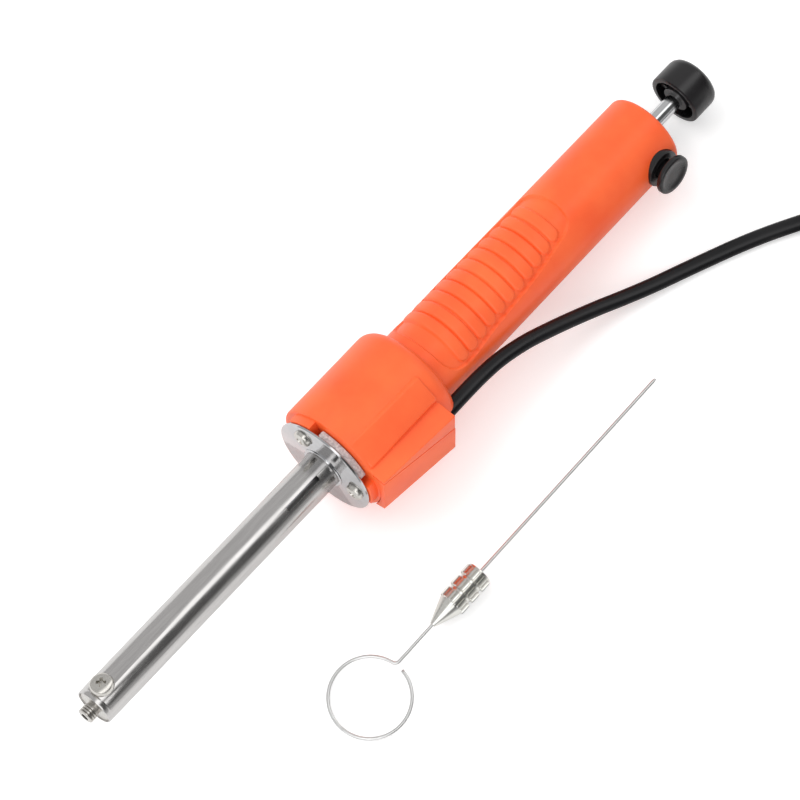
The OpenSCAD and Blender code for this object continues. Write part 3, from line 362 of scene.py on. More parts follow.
aluminium = metal("aluminium", (0.72, 0.73, 0.74), 0.3, (0.05, 1, 1))
heating_wire = metal("heating_wire", (0.32, 0.30, 0.28), 0.4)
print("metals ready")

# %% [markdown]
# Between flange and handle sits a disc of woven heat insulation. It's matt, and its threads show
# as a fine check. The other insulating pieces are hidden inside, and share a chalky finish.

# %% Insulating materials
woven_insulation = shader("woven_insulation", (0.5, 0.45, 0.44), 0.85)
threads = add_noise(woven_insulation, 1400, 2)
tint(
    woven_insulation, add_range(woven_insulation, threads, 0, 1),
    (0.34, 0.30, 0.30), (0.62, 0.57, 0.56),
)
add_bump(woven_insulation, threads, 1.5e-4)


def chalky(name, dark, light):
    """A fired or pressed insulating material."""
    material = shader(name, light, 0.8)
    grain = add_noise(material, 500, 5)
    tint(material, add_range(material, grain, 0, 1), dark, light)
    add_bump(material, grain, 3e-5)
    return material


ceramic = chalky("ceramic", (0.78, 0.75, 0.68), (0.88, 0.86, 0.80))
mica = chalky("mica", (0.60, 0.52, 0.40), (0.78, 0.72, 0.62))
glass_sleeving = chalky("glass_sleeving", (0.72, 0.72, 0.68), (0.86, 0.86, 0.83))
core_insulation = moulded("core_insulation", (0.20, 0.10, 0.05), (0.28, 0.15, 0.08), 0.4, 1e-5)
print("insulating materials ready")

# %% [markdown]
# Each CAD node takes the finish of what it's made of. The pieces modelled below take over the
# nodes that show; the inner ones keep their CAD shape.

# %% Dress the CAD nodes
FINISHES = {
    orange_plastic: ["handle", "terminal_cover"],
    black_plastic: ["cord_clamp", "rear_bush", "knob", "button_collar", "release_button"],
    cord_pvc: ["cord", "cord_coil", "plug_body"],
    white_plastic: ["terminal_block", "piston"],
    tie_paper: ["cord_tie"],
    rubber: ["front_seal", "piston_seal"],
    barrel_steel: ["barrel"],
    polished_steel: ["mounting_flange"],
    screw_steel: ["flange_screws", "tip_screw", "cover_screws", "terminal_screws", "clamp_screw"],
    plated_brass: ["nozzle_seat", "plug_pins"],
    nozzle_steel: ["nozzle"],
    needle_steel: ["cleaning_needle"],
    rod_steel: ["plunger_rod"],
    spring_steel: ["main_spring", "button_spring", "latch_plate"],
    inner_steel: ["suction_tube"],
    brass: ["terminal_inserts", "front_plug"],
    aluminium: ["pump_cylinder"],
    heating_wire: ["heater_winding"],
    woven_insulation: ["flange_gasket"],
    ceramic: ["heater_core"],
    mica: ["heater_sleeve"],
    glass_sleeving: ["heater_leads"],
    core_insulation: ["cord_cores"],
}
dressed = 0
for finish, names in FINISHES.items():
    for name in names:
        mesh = NODES[name].data
        mesh.materials.clear()
        mesh.materials.append(finish)
        dressed += 1
print("dressed", dressed, "of", len(NODES), "nodes")

# %% [markdown]
# ## Sweep the cord
#
# The flat cord's section is a rounded oval with a faint waist between its two cores. A ring of
# points is set across the line at each step and the rings are joined into a tube. Its wide side
# lies level, so each ring's side direction is taken from the plan of the line.

# %% Make the cord
TUBE_SIDES = 16


def swept_tube(name, line, width, thickness, waist=0.0):
    """A closed tube with an oval section along a line of points in millimetres."""
    mesh = bpy.data.meshes.new(name)
    verts, faces = [], []
    for i, point in enumerate(line):
        along = (line[min(i + 1, len(line) - 1)] - line[max(i - 1, 0)]).normalized()
        side = Vector((0, 0, 1)).cross(along).normalized()
        rise = along.cross(side)
        for k in range(TUBE_SIDES):
            angle = 2 * math.pi * k / TUBE_SIDES
            c, s = math.cos(angle), math.sin(angle)
            squeeze = 1 - waist * max(0, 1 - abs(c) * 3)
            offset = side * (width / 2 * c) + rise * (thickness / 2 * s * squeeze)
            verts.append((point + offset) * MM)
    rings = len(line)
    for i in range(rings - 1):
        for k in range(TUBE_SIDES):
            a, b = i * TUBE_SIDES + k, i * TUBE_SIDES + (k + 1) % TUBE_SIDES
            faces.append((a, a + TUBE_SIDES, b + TUBE_SIDES, b))
    faces.append(tuple(range(TUBE_SIDES)))
    faces.append(tuple((rings - 1) * TUBE_SIDES + k for k in reversed(range(TUBE_SIDES))))
    mesh.from_pydata(verts, [], faces)
    mesh.validate()
    piece = bpy.data.objects.new(name, mesh)
    bpy.context.scene.collection.objects.link(piece)
    for polygon in mesh.polygons[:-2]:
        polygon.use_smooth = True
    return piece


def finish_piece(piece, material, slot, body, *replaced):
    """Gives a piece its finish and its body, and says which CAD nodes it stands for. The slot is
    not used.
    """
    piece.data.materials.clear()
    piece.data.materials.append(material)
    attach(piece, body)
    if replaced:
        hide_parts(*replaced)
    print(piece.name, "has", len(piece.data.polygons), "faces")


mains_cord = swept_tube("mains_cord", cord_line, CORD_W, CORD_T, 0.08)
finish_piece(mains_cord, cord_pvc, "cord_pvc", "iron", "cord", "cord_coil")

# %% [markdown]
# ## Turned shapes
#
# Barrel, flange, screws, knob, button and nozzle are all shapes that a lathe makes. By hand one
# adds a circle, extrudes its edge, slides it along the axis and scales it, again and again. The
# helper does just that for a list of places and radii. A closed profile makes a hollow ring, and
# an open one gets flat ends. A fine bevel on every sharp edge then catches the light, as the
# broken edges of a real part do.

# %% Turn a profile
def only(piece):
    """Makes one object the only selected and active one."""
    if bpy.context.mode != "OBJECT":
        bpy.ops.object.mode_set(mode="OBJECT")
    bpy.ops.object.select_all(action="DESELECT")
    piece.select_set(True)
    bpy.context.view_layer.objects.active = piece


def apply_modifier(piece, kind, **settings):
    """Adds a modifier with its settings and applies it."""
    only(piece)
    modifier = piece.modifiers.new(kind.lower(), kind)
    for key, value in settings.items():
        setattr(modifier, key, value)
    bpy.ops.object.modifier_apply(modifier=modifier.name)


def smooth_sides(piece, angle=35):
    """Smooths the shading of a piece, except at edges sharper than an angle in degrees."""
    only(piece)
    bpy.ops.object.shade_smooth_by_angle(angle=math.radians(angle))
    return piece


def turned_piece(name, profile, segments=96):
    """Extrudes a circle through (x, radius) pairs in millimetres; equal ends make a ring."""
    bpy.ops.object.select_all(action="DESELECT")
    x, radius = profile[0]
    bpy.ops.mesh.primitive_circle_add(
        vertices=segments, radius=radius * MM, location=(x * MM, 0, 0),
        rotation=(0, math.pi / 2, 0),
    )
    piece = bpy.context.object
    piece.name = name
    bpy.ops.object.transform_apply(location=True, rotation=True, scale=True)
    bpy.ops.object.mode_set(mode="EDIT")
    bpy.ops.mesh.select_all(action="SELECT")
    for x_next, radius_next in profile[1:]:
        bpy.ops.mesh.extrude_edges_move(
            TRANSFORM_OT_translate={"value": ((x_next - x) * MM, 0, 0)},
        )
        ratio = radius_next / radius
        bpy.ops.transform.resize(value=(1, ratio, ratio), center_override=(x_next * MM, 0, 0))
        x, radius = x_next, radius_next
    bpy.ops.mesh.select_all(action="SELECT")
    if profile[0] == profile[-1]:
        bpy.ops.mesh.remove_doubles(threshold=0.001 * MM)
        bpy.ops.mesh.delete_loose()
    else:
        bpy.ops.mesh.fill_holes(sides=0)
    bpy.ops.mesh.select_all(action="SELECT")
    bpy.ops.mesh.normals_make_consistent(inside=False)
    bpy.ops.object.mode_set(mode="OBJECT")
    return piece


print("lathe ready")

# %% [markdown]
# What a lathe can't make is cut from a turned shape, or added to it, with booleans. A piece that's
# needed more than once is modelled once, and its mesh is copied to every place.

# %% Cut, bevel and copy
def box_piece(name, low, high):
    """A block between two corners in (x, side, up), as a start for a cutter or a rib."""
    bpy.ops.object.select_all(action="DESELECT")
    middle = [(a + b) / 2 for a, b in zip(low, high)]
    size = [abs(b - a) for a, b in zip(low, high)]
    bpy.ops.mesh.primitive_cube_add(size=1, location=(0, 0, 0))
    piece = bpy.context.object
    piece.name = name
    piece.data.transform(shift(*middle) @ Matrix.Diagonal((*(v * MM for v in size), 1)))
    return piece


def combine(piece, others, operation="DIFFERENCE"):
    """Cuts other pieces out of one, or adds them to it, and removes them."""
    for other in others:
        apply_modifier(piece, "BOOLEAN", object=other, operation=operation, solver="EXACT")
        bpy.data.objects.remove(other)
    return piece


def break_edges(piece, width, segments=2, angle=35):
    """Bevels the sharp edges by a width in millimetres and smooths the shading between them."""
    apply_modifier(
        piece, "BEVEL", width=width * MM, segments=segments, limit_method="ANGLE",
        angle_limit=math.radians(angle), harden_normals=False,
    )
    return smooth_sides(piece, angle)


def place_copies(piece, name, places):
    """Copies a piece's mesh to each place, joins the copies and lays them with the iron."""
    meshes = []
    for place in places:
        mesh = piece.data.copy()
        mesh.transform(LAY @ place)
        copy = bpy.data.objects.new(name, mesh)
        bpy.context.scene.collection.objects.link(copy)
        meshes.append(copy)
    bpy.data.objects.remove(piece)
    only(meshes[0])
    for copy in meshes[1:]:
        copy.select_set(True)
    if len(meshes) > 1:
        bpy.ops.object.join()
    whole = bpy.context.view_layer.objects.active
    whole.name = name
    return whole


print("cutting helpers ready")

# %% [markdown]
# ## Barrel
#
# The barrel is a thin polished steel tube with its front edge rolled in slightly. A fine groove
# runs round it near the front, and four vent slots are punched through it near the flange. The
# tube is turned with both its walls, and the slots are cut with rounded blocks.

# %% Make the barrel
BARREL_R = 6.0
FLANGE_X = 96.4
SLOT_FRONT, SLOT_REAR, SLOT_W = 78.2, 91.2, 1.6
TIP_SCREW_X = 4.9
TIP_SCREW_TURN = -11
UPWARDS = Matrix.Rotation(-math.pi / 2, 4, "Y")

barrel = turned_piece("steel_barrel", [
    (0.15, 5.5), (0.0, 5.65), (0.05, 5.82), (0.35, 5.97), (0.8, 6.0), (1.5, 6.0), (1.65, 5.9),
    (1.85, 5.9), (2.0, 6.0), (40, 6.0), (70, 6.0), (98.1, 6.0), (98.1, 5.5), (50, 5.5), (0.15, 5.5),
], 128)
cutters = []
for k in range(4):
    cutter = box_piece("slot", (SLOT_FRONT, -SLOT_W / 2, 3), (SLOT_REAR, SLOT_W / 2, 9))
    only(cutter)
    bpy.ops.object.mode_set(mode="EDIT")
    bpy.ops.mesh.select_all(action="DESELECT")
    shape = bmesh.from_edit_mesh(cutter.data)
    for edge in shape.edges:
        direction = edge.verts[1].co - edge.verts[0].co
        edge.select = abs(direction.z) > 0.9 * direction.length
    bmesh.update_edit_mesh(cutter.data)
    bpy.ops.mesh.bevel(offset=SLOT_W / 2 * 0.99 * MM, segments=6, affect="EDGES")
    bpy.ops.object.mode_set(mode="OBJECT")
    cutter.data.transform(around(22 + 90 * k))
    cutters.append(cutter)
hole = turned_piece("hole", [(0, 2.05), (9, 2.05)], 32)
hole.data.transform(around(TIP_SCREW_TURN) @ shift(TIP_SCREW_X) @ UPWARDS)
combine(barrel, cutters + [hole])
break_edges(barrel, 0.06, 2, 40)
barrel.data.transform(LAY)
finish_piece(barrel, barrel_steel, "chrome_steel", "iron", "barrel")

# %% [markdown]
# ## Screws
#
# A pan head screw is a low dome on a shank, with a cross punched into it. The head is turned,
# and two thin blocks that taper into it cut the cross. One screw is modelled and copied to every
# place that takes it. The tip screw clamps the nozzle's seat, and three smaller ones hold the
# flange.

# %% Make the screws
def pan_screw(head_r, head_h, shank_r, shank_l):
    """A screw along +x: its head stands on x = 0 and the shank lies behind it."""
    screw = turned_piece("screw", [
        (-shank_l, shank_r * 0.85), (0.2 - shank_l, shank_r), (0, shank_r), (0, head_r * 0.96),
        (head_h * 0.08, head_r), (head_h * 0.42, head_r), (head_h * 0.72, head_r * 0.9),
        (head_h * 0.9, head_r * 0.68), (head_h * 0.98, head_r * 0.4), (head_h, head_r * 0.1),
    ], 64)
    reach, half = head_r * 0.62, head_r * 0.13
    arms = []
    for turn in (0, 90):
        arm = box_piece("arm", (head_h * 0.35, -reach, -half), (head_h * 2, reach, half))
        for vertex in arm.data.vertices:
            if vertex.co.x < head_h * 0.5 * MM:
                vertex.co.y *= 0.45
        arm.data.transform(around(turn))
        arms.append(arm)
    combine(screw, arms)
    return break_edges(screw, 0.07, 2, 30)


FORWARDS = Matrix.Rotation(math.pi, 4, "Z")
tip_screw = place_copies(
    pan_screw(3.5, 2.3, 1.95, 3.7), "tip_screw_dressed",
    [around(TIP_SCREW_TURN) @ shift(TIP_SCREW_X, 0, BARREL_R + 0.05) @ UPWARDS @ around(38)],
)
finish_piece(tip_screw, screw_steel, "screw_steel", "iron", "tip_screw")
FLANGE_TURNS = (-40.5, 79.5, 199.5)
FLANGE_SCREW_R = 12.2
flange_screws = place_copies(
    pan_screw(2.8, 1.8, 1.35, 6.1), "flange_screws_dressed",
    [around(a) @ shift(FLANGE_X - 0.05, 0, FLANGE_SCREW_R) @ FORWARDS @ around(t)
        for a, t in zip(FLANGE_TURNS, (20, 52, 10))],
)
finish_piece(flange_screws, screw_steel, "screw_steel", "iron", "flange_screws")

# %% [markdown]
# ## Flange and insulation
#
# The flange is stamped from bright sheet steel, so its rim is a little rounded and its face is
# nearly a mirror. It's pressed onto the barrel, with a small rolled lip in front. The woven disc
# behind it keeps the heat from the plastic, and has a cut-out round each screw, where a land of
# the handle reaches through.

# %% Make the flange and the disc
flange = turned_piece("steel_flange", [
    (95.7, 6.05), (95.7, 6.75), (95.95, 6.98), (96.25, 7.0), (96.4, 7.25), (96.4, 16.0),
    (96.55, 16.3), (96.85, 16.4), (97.15, 16.36), (97.4, 16.1), (97.4, 6.05), (95.7, 6.05),
], 160)
smooth_sides(flange)
flange.data.transform(LAY)
finish_piece(flange, polished_steel, "polished_steel", "iron", "mounting_flange")

disc = turned_piece("woven_disc", [
    (97.5, 7.2), (97.5, 15.3), (97.7, 15.6), (99.5, 15.6), (99.7, 15.4), (99.7, 7.2), (97.5, 7.2),
], 128)
wedges = []
for a in FLANGE_TURNS:
    wedge = box_piece("wedge", (96, -9, 8.8), (101, 9, 20))
    for vertex in wedge.data.vertices:
        if vertex.co.z < 12 * MM:
            vertex.co.y *= 0.58
    wedge.data.transform(around(a))
    wedges.append(wedge)
combine(disc, wedges)
break_edges(disc, 0.15, 2, 40)
disc.data.transform(LAY)
finish_piece(disc, woven_insulation, "woven_insulation", "iron", "flange_gasket")

# %% [markdown]
# ## Handle
#
# The handle is one hollow moulding: a wide head, a long round grip and half of the terminal
# housing. The grip has a recessed panel with eleven ribs across it, which is where the thumb
# lies. The grip could be sculpted, but its ribs are regular, so a finely divided tube is turned
# first and its vertices are then moved inwards by a rule: down into the panel, and up again on
# each rib. The rule measures how deep a point lies inside the panel's outline, on the unrolled
# surface.

# %% The panel's outline and its ribs
HEAD_R = 18.0
HEAD_X = 100.1
HEAD_END = 134.8
GRIP_FRONT_R = 12.75
GRIP_REAR_R = 12.5
PANEL_MID = -12.0
PANEL_DEPTH = 0.8
PANEL_OUTLINE = [
    (194.6, -67), (196.6, -45), (197.6, -12), (196.8, 17), (194.1, 29), (189.9, 34), (177.9, 44),
    (167.9, 48.5), (158, 53), (147.5, 60.5), (141.9, 55), (139, 36), (138.3, 3), (138.3, -27),
    (139, -60), (141.9, -79), (147.5, -84.5), (158, -77), (167.9, -72.5), (177.9, -68),
    (189.9, -62),
]
ARC = GRIP_FRONT_R * math.pi / 180
outline = smooth_line(
    [Vector((x, (a - PANEL_MID) * ARC, 0)) for x, a in PANEL_OUTLINE + PANEL_OUTLINE[:1]], 5,
)
PANEL_FRONT, PANEL_REAR = 137, 199
RIB_COUNT = 11
RIB_PITCH = 4.45
RIB_FIRST = 145.6
RIB_HALF = 2.15
RIB_HEIGHT = 0.84


def inside_by(point, loop):
    """How far a point lies inside a closed outline: positive inside, negative outside."""
    nearest, crossings = 1e9, 0
    px, py = point
    for a, b in zip(loop, loop[1:]):
        dx, dy = b.x - a.x, b.y - a.y
        t = min(max(((px - a.x) * dx + (py - a.y) * dy) / (dx * dx + dy * dy + 1e-12), 0), 1)
        nearest = min(nearest, math.hypot(a.x + t * dx - px, a.y + t * dy - py))
        if (a.y > py) != (b.y > py) and px < a.x + (py - a.y) / dy * dx:
            crossings += 1
    return nearest if crossings % 2 else -nearest


def panel_relief(x, arc):
    """How far the surface lies above or below the plain handle, at a place on the unrolled grip."""
    if not PANEL_FRONT < x < PANEL_REAR or abs(arc) > 18:
        return 0.0
    depth = inside_by((x, arc), outline)
    if depth < -0.3:
        return 0.0
    relief = -PANEL_DEPTH * soft_step((depth + 0.15) / 0.5)
    row = round((x - RIB_FIRST) / RIB_PITCH)
    if 0 <= row < RIB_COUNT and depth > 0.8:
        off = abs(x - RIB_FIRST - row * RIB_PITCH)
        end = depth - 1.0
        if end < RIB_HALF:
            off = math.hypot(off, RIB_HALF - end)
        if off < RIB_HALF:
            relief += RIB_HEIGHT * (1 - (off / RIB_HALF) ** 6)
    return relief


print("panel outline:", len(outline), "points")

# %% [markdown]
# The head is turned too, as one ring of edges after another, and the grip is divided finely
# between its ends, so that the ribs stay crisp. The wall's inside is part of the same profile,
# because the handle is open at both ends.

# %% Turn the handle and press the panel into it
GRIP_ROWS = 280
SHOULDER_R = 4
NECK_R = 1.2


def corner(x, radius, rounding, angles):
    """A rounded part of a profile about (x, radius); a negative rounding makes it hollow."""
    turns = [math.radians(a) for a in angles]
    return [(x + rounding * math.sin(t), radius + rounding * math.cos(t)) for t in turns]


shoulder = corner(HEAD_END - SHOULDER_R, HEAD_R - SHOULDER_R, SHOULDER_R, range(0, 76, 15))
neck = corner(HEAD_END + NECK_R, GRIP_FRONT_R + NECK_R, -NECK_R, (90, 68, 45, 22, 0))
rear_edge = corner(TAIL_X - TAIL_EDGE, GRIP_REAR_R - TAIL_EDGE, TAIL_EDGE, range(0, 91, 15))
grip_start = neck[-1][0]
grip_slope = (GRIP_REAR_R - GRIP_FRONT_R) / (TAIL_X - TAIL_EDGE - grip_start)
rows = []
for i in range(1, GRIP_ROWS + 1):
    x = grip_start + 0.3 + (PANEL_REAR + 0.5 - grip_start) * i / GRIP_ROWS
    rows.append((x, GRIP_FRONT_R + grip_slope * (x - grip_start)))
handle = turned_piece("handle_shell", [
    (103.1, 8.0), (HEAD_X + 0.3, 8.0), (HEAD_X, 8.3), (HEAD_X, 17.3), (HEAD_X + 0.2, 17.8),
    (HEAD_X + 0.7, HEAD_R), (115, HEAD_R), (129.2, HEAD_R), *shoulder, *neck, *rows, (215, 12.56),
    *rear_edge, (TAIL_X, 10.9), (237.9, 10.75), (130.6, 10.75), (130.6, 15.8), (103.1, 15.8),
    (103.1, 8.0),
], 256)
moved = 0
for vertex in handle.data.vertices:
    x, y, z = vertex.co / MM
    radius = math.hypot(y, z)
    if radius < 12.2 or not PANEL_FRONT < x < PANEL_REAR:
        continue
    angle = math.degrees(math.atan2(-y, z)) - PANEL_MID
    if angle < -180:
        angle += 360
    relief = panel_relief(x, angle * ARC)
    if relief:
        vertex.co.y *= (radius + relief) / radius
        vertex.co.z *= (radius + relief) / radius
        moved += 1
print("panel moved", moved, "of", len(handle.data.vertices), "vertices")

# %% [markdown]
# The terminal housing sits on the head's side. Its outer wall spreads and leans a little, its
# underside slopes, and a joint runs round it where the cover closes it from below. Both halves
# start as one block that is cut to the sloping planes; the handle keeps what lies above the
# joint and the cover what lies below. A raised flat leads from the crown of the head down to
# the housing's top. It swells a little towards the rear.

# %% Cut the housing to its planes
BOX_X, BOX_END = 100.1, 128.9
BOX_TOP, BOX_DROP = 12.2, 5.5
BOX_SIDE = 18.7
BOX_LEAN = 0.066
WALL_OUT = (-0.055, 1.0, BOX_LEAN)
UNDER_OUT = (-0.148, 0.48, -1.0)
LOW_SIDE = BOX_SIDE + BOX_LEAN * (BOX_TOP + BOX_DROP)
SEAM_FRONT, SEAM_REAR = 11.0, 4.0
SEAM_OUT = ((SEAM_FRONT - SEAM_REAR) / (BOX_END - BOX_X), 0, 1)


def slice_off(piece, point, out):
    """Cuts a piece along a plane in (x, side, up) and closes it; what lies beyond goes."""
    only(piece)
    bpy.ops.object.mode_set(mode="EDIT")
    bpy.ops.mesh.select_all(action="SELECT")
    bpy.ops.mesh.bisect(
        plane_co=(point[0] * MM, -point[1] * MM, point[2] * MM), plane_no=(out[0], -out[1], out[2]),
        use_fill=True, clear_outer=True,
    )
    bpy.ops.object.mode_set(mode="OBJECT")


def housing_block(name, front=0.0, rear=0.0, inset=0.0):
    """The housing's whole form, or the same form a wall's thickness further in."""
    block = box_piece(name, (BOX_X + front, 9, -20), (BOX_END - rear, 30, BOX_TOP - inset))
    wall = Vector(WALL_OUT).normalized() * inset
    under = Vector(UNDER_OUT).normalized() * inset
    slice_off(block, (BOX_X - wall.x, BOX_SIDE - wall.y, BOX_TOP - wall.z), WALL_OUT)
    slice_off(block, (BOX_X - under.x, LOW_SIDE - under.y, -BOX_DROP - under.z), UNDER_OUT)
    return block


def cord_slot():
    """A cutter with rounded sides for the cord's way out of the housing."""
    cutter = turned_piece("slot_hole", [(120, 1.65), (135, 1.65)], 32)
    for vertex in cutter.data.vertices:
        vertex.co.y += math.copysign(0.9 * MM, vertex.co.y)
    cutter.data.transform(shift(0, 15.8, 4.2))
    return cutter


upper = housing_block("upper")
slice_off(upper, (BOX_X, 0, SEAM_FRONT), tuple(-v for v in SEAM_OUT))
break_edges(upper, 0.35, 3, 30)
flat = box_piece("flat", (BOX_X + 0.9, 3.2, 9.5), (BOX_END, 16, 22))
slice_off(flat, (110, 5.6, 17.55), (-0.03, 0.47, 0.88))
slice_off(flat, (110, 13.4, 12.0), (0, 1, 0))
slice_off(flat, (110, 5.6, 17.6), (0, -0.5, 0.86))
break_edges(flat, 0.6, 3, 30)
combine(handle, [flat, upper], "UNION")
hollow = turned_piece("hollow", [(103.1, 15.75), (130, 15.75)], 96)
combine(handle, [housing_block("inner_box", 3.0, 1.2, 1.2), hollow])
print("handle with housing:", len(handle.data.polygons), "faces")

# %% [markdown]
# Three lands reach forward from the head and carry the flange. The collar's hole and the cord's
# slot are cut last, so that the union can't close them again.

# %% Add the lands and cut the openings
BUTTON_X, BUTTON_TURN = 230.5, 74
AT_BUTTON = around(BUTTON_TURN) @ shift(BUTTON_X) @ UPWARDS
slope = math.radians(16)

lands = []
for a in FLANGE_TURNS:
    land = turned_piece("land", [
        (97.45, 9.0), (97.45, 16.8), (97.65, 17.0), (102, 17.0), (102, 9.0), (97.45, 9.0),
    ], 128)
    for s in (-1, 1):
        slice_off(land, (100, 0, 0), (0, s * math.cos(slope), -math.sin(slope)))
    land.data.transform(around(a))
    lands.append(land)
combine(handle, lands, "UNION")
collar_hole = turned_piece("collar_hole", [(8, 5.85), (16, 5.85)], 64)
collar_hole.data.transform(AT_BUTTON)
combine(handle, [collar_hole, cord_slot()])
smooth_sides(handle, 32)
handle.data.transform(LAY)
finish_piece(handle, orange_plastic, "orange_plastic", "iron", "handle")

# %% [markdown]
# ## Cover
#
# The cover closes the housing from below. It's the same block below the joint, with a foot under
# the head that the iron lies on. Its edges are rounded like the handle's.

# %% Make the cover
SEAM_GAP = 0.25
SCREW_INSET = 8.0

cover = housing_block("cover")
slice_off(cover, (BOX_X, 0, SEAM_FRONT - SEAM_GAP), SEAM_OUT)
foot = box_piece("foot", (104.5, -14, -30), (BOX_END, 16.6, -6))
slice_off(foot, (0, 16.56, -9), (0, 1, -0.55))
slice_off(foot, (0, 14.4, -13.1), (0, 0.95, -0.31))
slice_off(foot, (0, -10.4, -25), (0, -1, -0.2))
slice_off(foot, (REST_X, 0, -REST_DROP), (math.sin(TILT), 0, -math.cos(TILT)))
combine(cover, [foot], "UNION")
around_head = turned_piece("around_head", [(95, 18.12), (134, 18.12)], 256)
inner_box = housing_block("inner_box", 3.0, 1.2, 1.2)
combine(cover, [around_head, inner_box])
break_edges(cover, 0.3, 3, 40)
screw_wells = [cord_slot()]
for x in (BOX_X + SCREW_INSET, BOX_END - SCREW_INSET):
    for radius, top in ((2.65, 1.65), (1.6, 12)):
        well = turned_piece("well", [(-6, radius), (top, radius)], 48)
        depth = REST_DROP - (x - REST_X) * math.tan(TILT)
        well.data.transform(shift(x, 5.5, -depth) @ UPWARDS)
        screw_wells.append(well)
combine(cover, screw_wells)
smooth_sides(cover, 32)
cover.data.transform(LAY)
finish_piece(cover, orange_plastic, "orange_plastic", "iron", "terminal_cover")

# %% [markdown]
# ## Knob, button and collar
#
# The plunger's knob is a cup that opens towards the handle, with a hub on four ribs. The button
# is a dished disc on a stem that slides in a round collar. Both are turned, and the ribs are
# blocks that join hub and wall.

# %% Make the black pieces
knob = turned_piece("plunger_knob", [
    (251.0, 6.9), (251.0, 8.1), (251.15, 8.4), (251.5, 8.5), (258.4, 8.5), (259.4, 8.3),
    (260.3, 7.7), (260.8, 6.9), (261.0, 6.0), (261.0, 5.0), (260.85, 2.0), (260.85, 0.0004),
    (259.4, 0.0004), (259.4, 2.55), (251.4, 2.55), (251.4, 4.1), (251.6, 4.2), (258.4, 4.2),
    (258.4, 6.9), (251.0, 6.9),
], 128)
ribs = []
for turn in (0, 90, 180, 270):
    rib = box_piece("rib", (252.6, -0.6, 3.4), (259.5, 0.6, 7.6))
    rib.data.transform(around(turn))
    ribs.append(rib)
combine(knob, ribs, "UNION")
smooth_sides(knob)
knob.data.transform(LAY)
finish_piece(knob, black_plastic, "black_plastic", "plunger", "knob")

button = turned_piece("button_cap", [
    (8.05, 3.0), (15.6, 3.0), (15.6, 5.75), (15.75, 6.0), (16.0, 6.15), (17.0, 6.15), (17.25, 6.05),
    (17.4, 5.8), (17.4, 5.0), (17.3, 4.5), (17.05, 3.8), (17.0, 2.0), (17.0, 0.3),
], 96)
break_edges(button, 0.08, 2, 50)
button.data.transform(LAY @ AT_BUTTON)
finish_piece(button, black_plastic, "black_plastic", "button", "release_button")

collar = turned_piece("stem_collar", [
    (9.2, 3.1), (9.2, 5.75), (12.9, 5.8), (13.15, 5.7), (13.3, 5.45), (13.3, 3.6), (12.9, 3.1),
    (9.2, 3.1),
], 96)
bore = turned_piece("bore", [(200, 10.72), (260, 10.72)], 128)
bore.data.transform(AT_BUTTON.inverted())
combine(collar, [bore])
smooth_sides(collar)
collar.data.transform(LAY @ AT_BUTTON)
finish_piece(collar, black_plastic, "black_plastic", "iron", "button_collar")

# %% [markdown]
# ## Nozzle
#
# The nozzle is turned from bar: three knurled bands for the fingers, two grooves between them
# and a cone that ends in the suction hole. It lies apart, threaded on the cleaning needle. The
# knurls are made by moving some rows of points on each band inwards, which is faster than
# cutting them one by one.

# %% Make the nozzle
NEEDLE_WIRE = 1.1
RING_R = 11.9
BEND_R = 1.6
TIP_GAP = 14.0
NOZZLE_R = 4.25
CONE_L = 7.5
BODY_L = 12.8
RING_FROM_TIP = 58.2
RING_Y = -49.6
NEEDLE_TURN = -0.8
RING_START = 10.0
NEEDLE_START = RING_R + (RING_R + BEND_R) * math.cos(math.radians(RING_START))
RING_SHIFT = BEND_R - (RING_R + BEND_R) * math.sin(math.radians(RING_START))
RISE = math.atan((NOZZLE_R - NEEDLE_WIRE / 2) / (TIP_GAP + CONE_L + NEEDLE_START))
FOOT_TO_TIP = REST_X * math.cos(TILT) - REST_DROP * math.sin(TILT)
AT_NEEDLE = (
    Matrix.Translation(Vector((RING_FROM_TIP - RING_R - FOOT_TO_TIP, RING_Y, NEEDLE_WIRE / 2)) * MM)
    @ Matrix.Rotation(math.radians(NEEDLE_TURN), 4, "Z") @ Matrix.Rotation(-RISE, 4, "Y")
)
BAND_L = (BODY_L - 2.6) / 3
KNURLS = 24
KNURL_SHARE = 0.89
profile = [
    (CONE_L + BODY_L - 5, 0.62), (0.35, 0.62), (0.0, 0.75), (0.0, 0.9), (0.3, 1.0), (CONE_L, 3.75),
]
x = CONE_L + 0.4
for band in range(3):
    profile += [(x, 3.8), (x + 0.25, NOZZLE_R), (x + BAND_L - 0.25, NOZZLE_R), (x + BAND_L, 3.8)]
    if band < 2:
        profile += [(x + BAND_L + 0.15, 3.45), (x + BAND_L + 0.75, 3.45)]
    x += BAND_L + 0.9
profile += [
    (CONE_L + BODY_L, 3.75), (CONE_L + BODY_L, 2.75), (CONE_L + BODY_L - 0.3, 2.55),
    (CONE_L + BODY_L - 5, 2.55), (CONE_L + BODY_L - 5, 0.62),
]
nozzle = turned_piece("suction_nozzle", profile, KNURLS * 6)
for vertex in nozzle.data.vertices:
    radius = math.hypot(vertex.co.y, vertex.co.z) / MM
    if radius > 4.2:
        phase = math.degrees(math.atan2(vertex.co.y, vertex.co.z)) * KNURLS / 360 % 1
        if phase < 0.3 or phase > 0.7:
            vertex.co.y *= KNURL_SHARE
            vertex.co.z *= KNURL_SHARE
smooth_sides(nozzle, 28)
nozzle.data.transform(AT_NEEDLE @ shift(NEEDLE_START + TIP_GAP))
finish_piece(nozzle, nozzle_steel, "nozzle_steel", "nozzle", "nozzle")

# %% [markdown]
# ## Cleaning needle
#
# The needle is one piece of hard wire: a finger ring, a tight bend and a straight end that
# clears the nozzle's hole. Wire is swept along its line with an even round section.

# %% Make the needle
NEEDLE_L = 110
POINT_L = 0.6


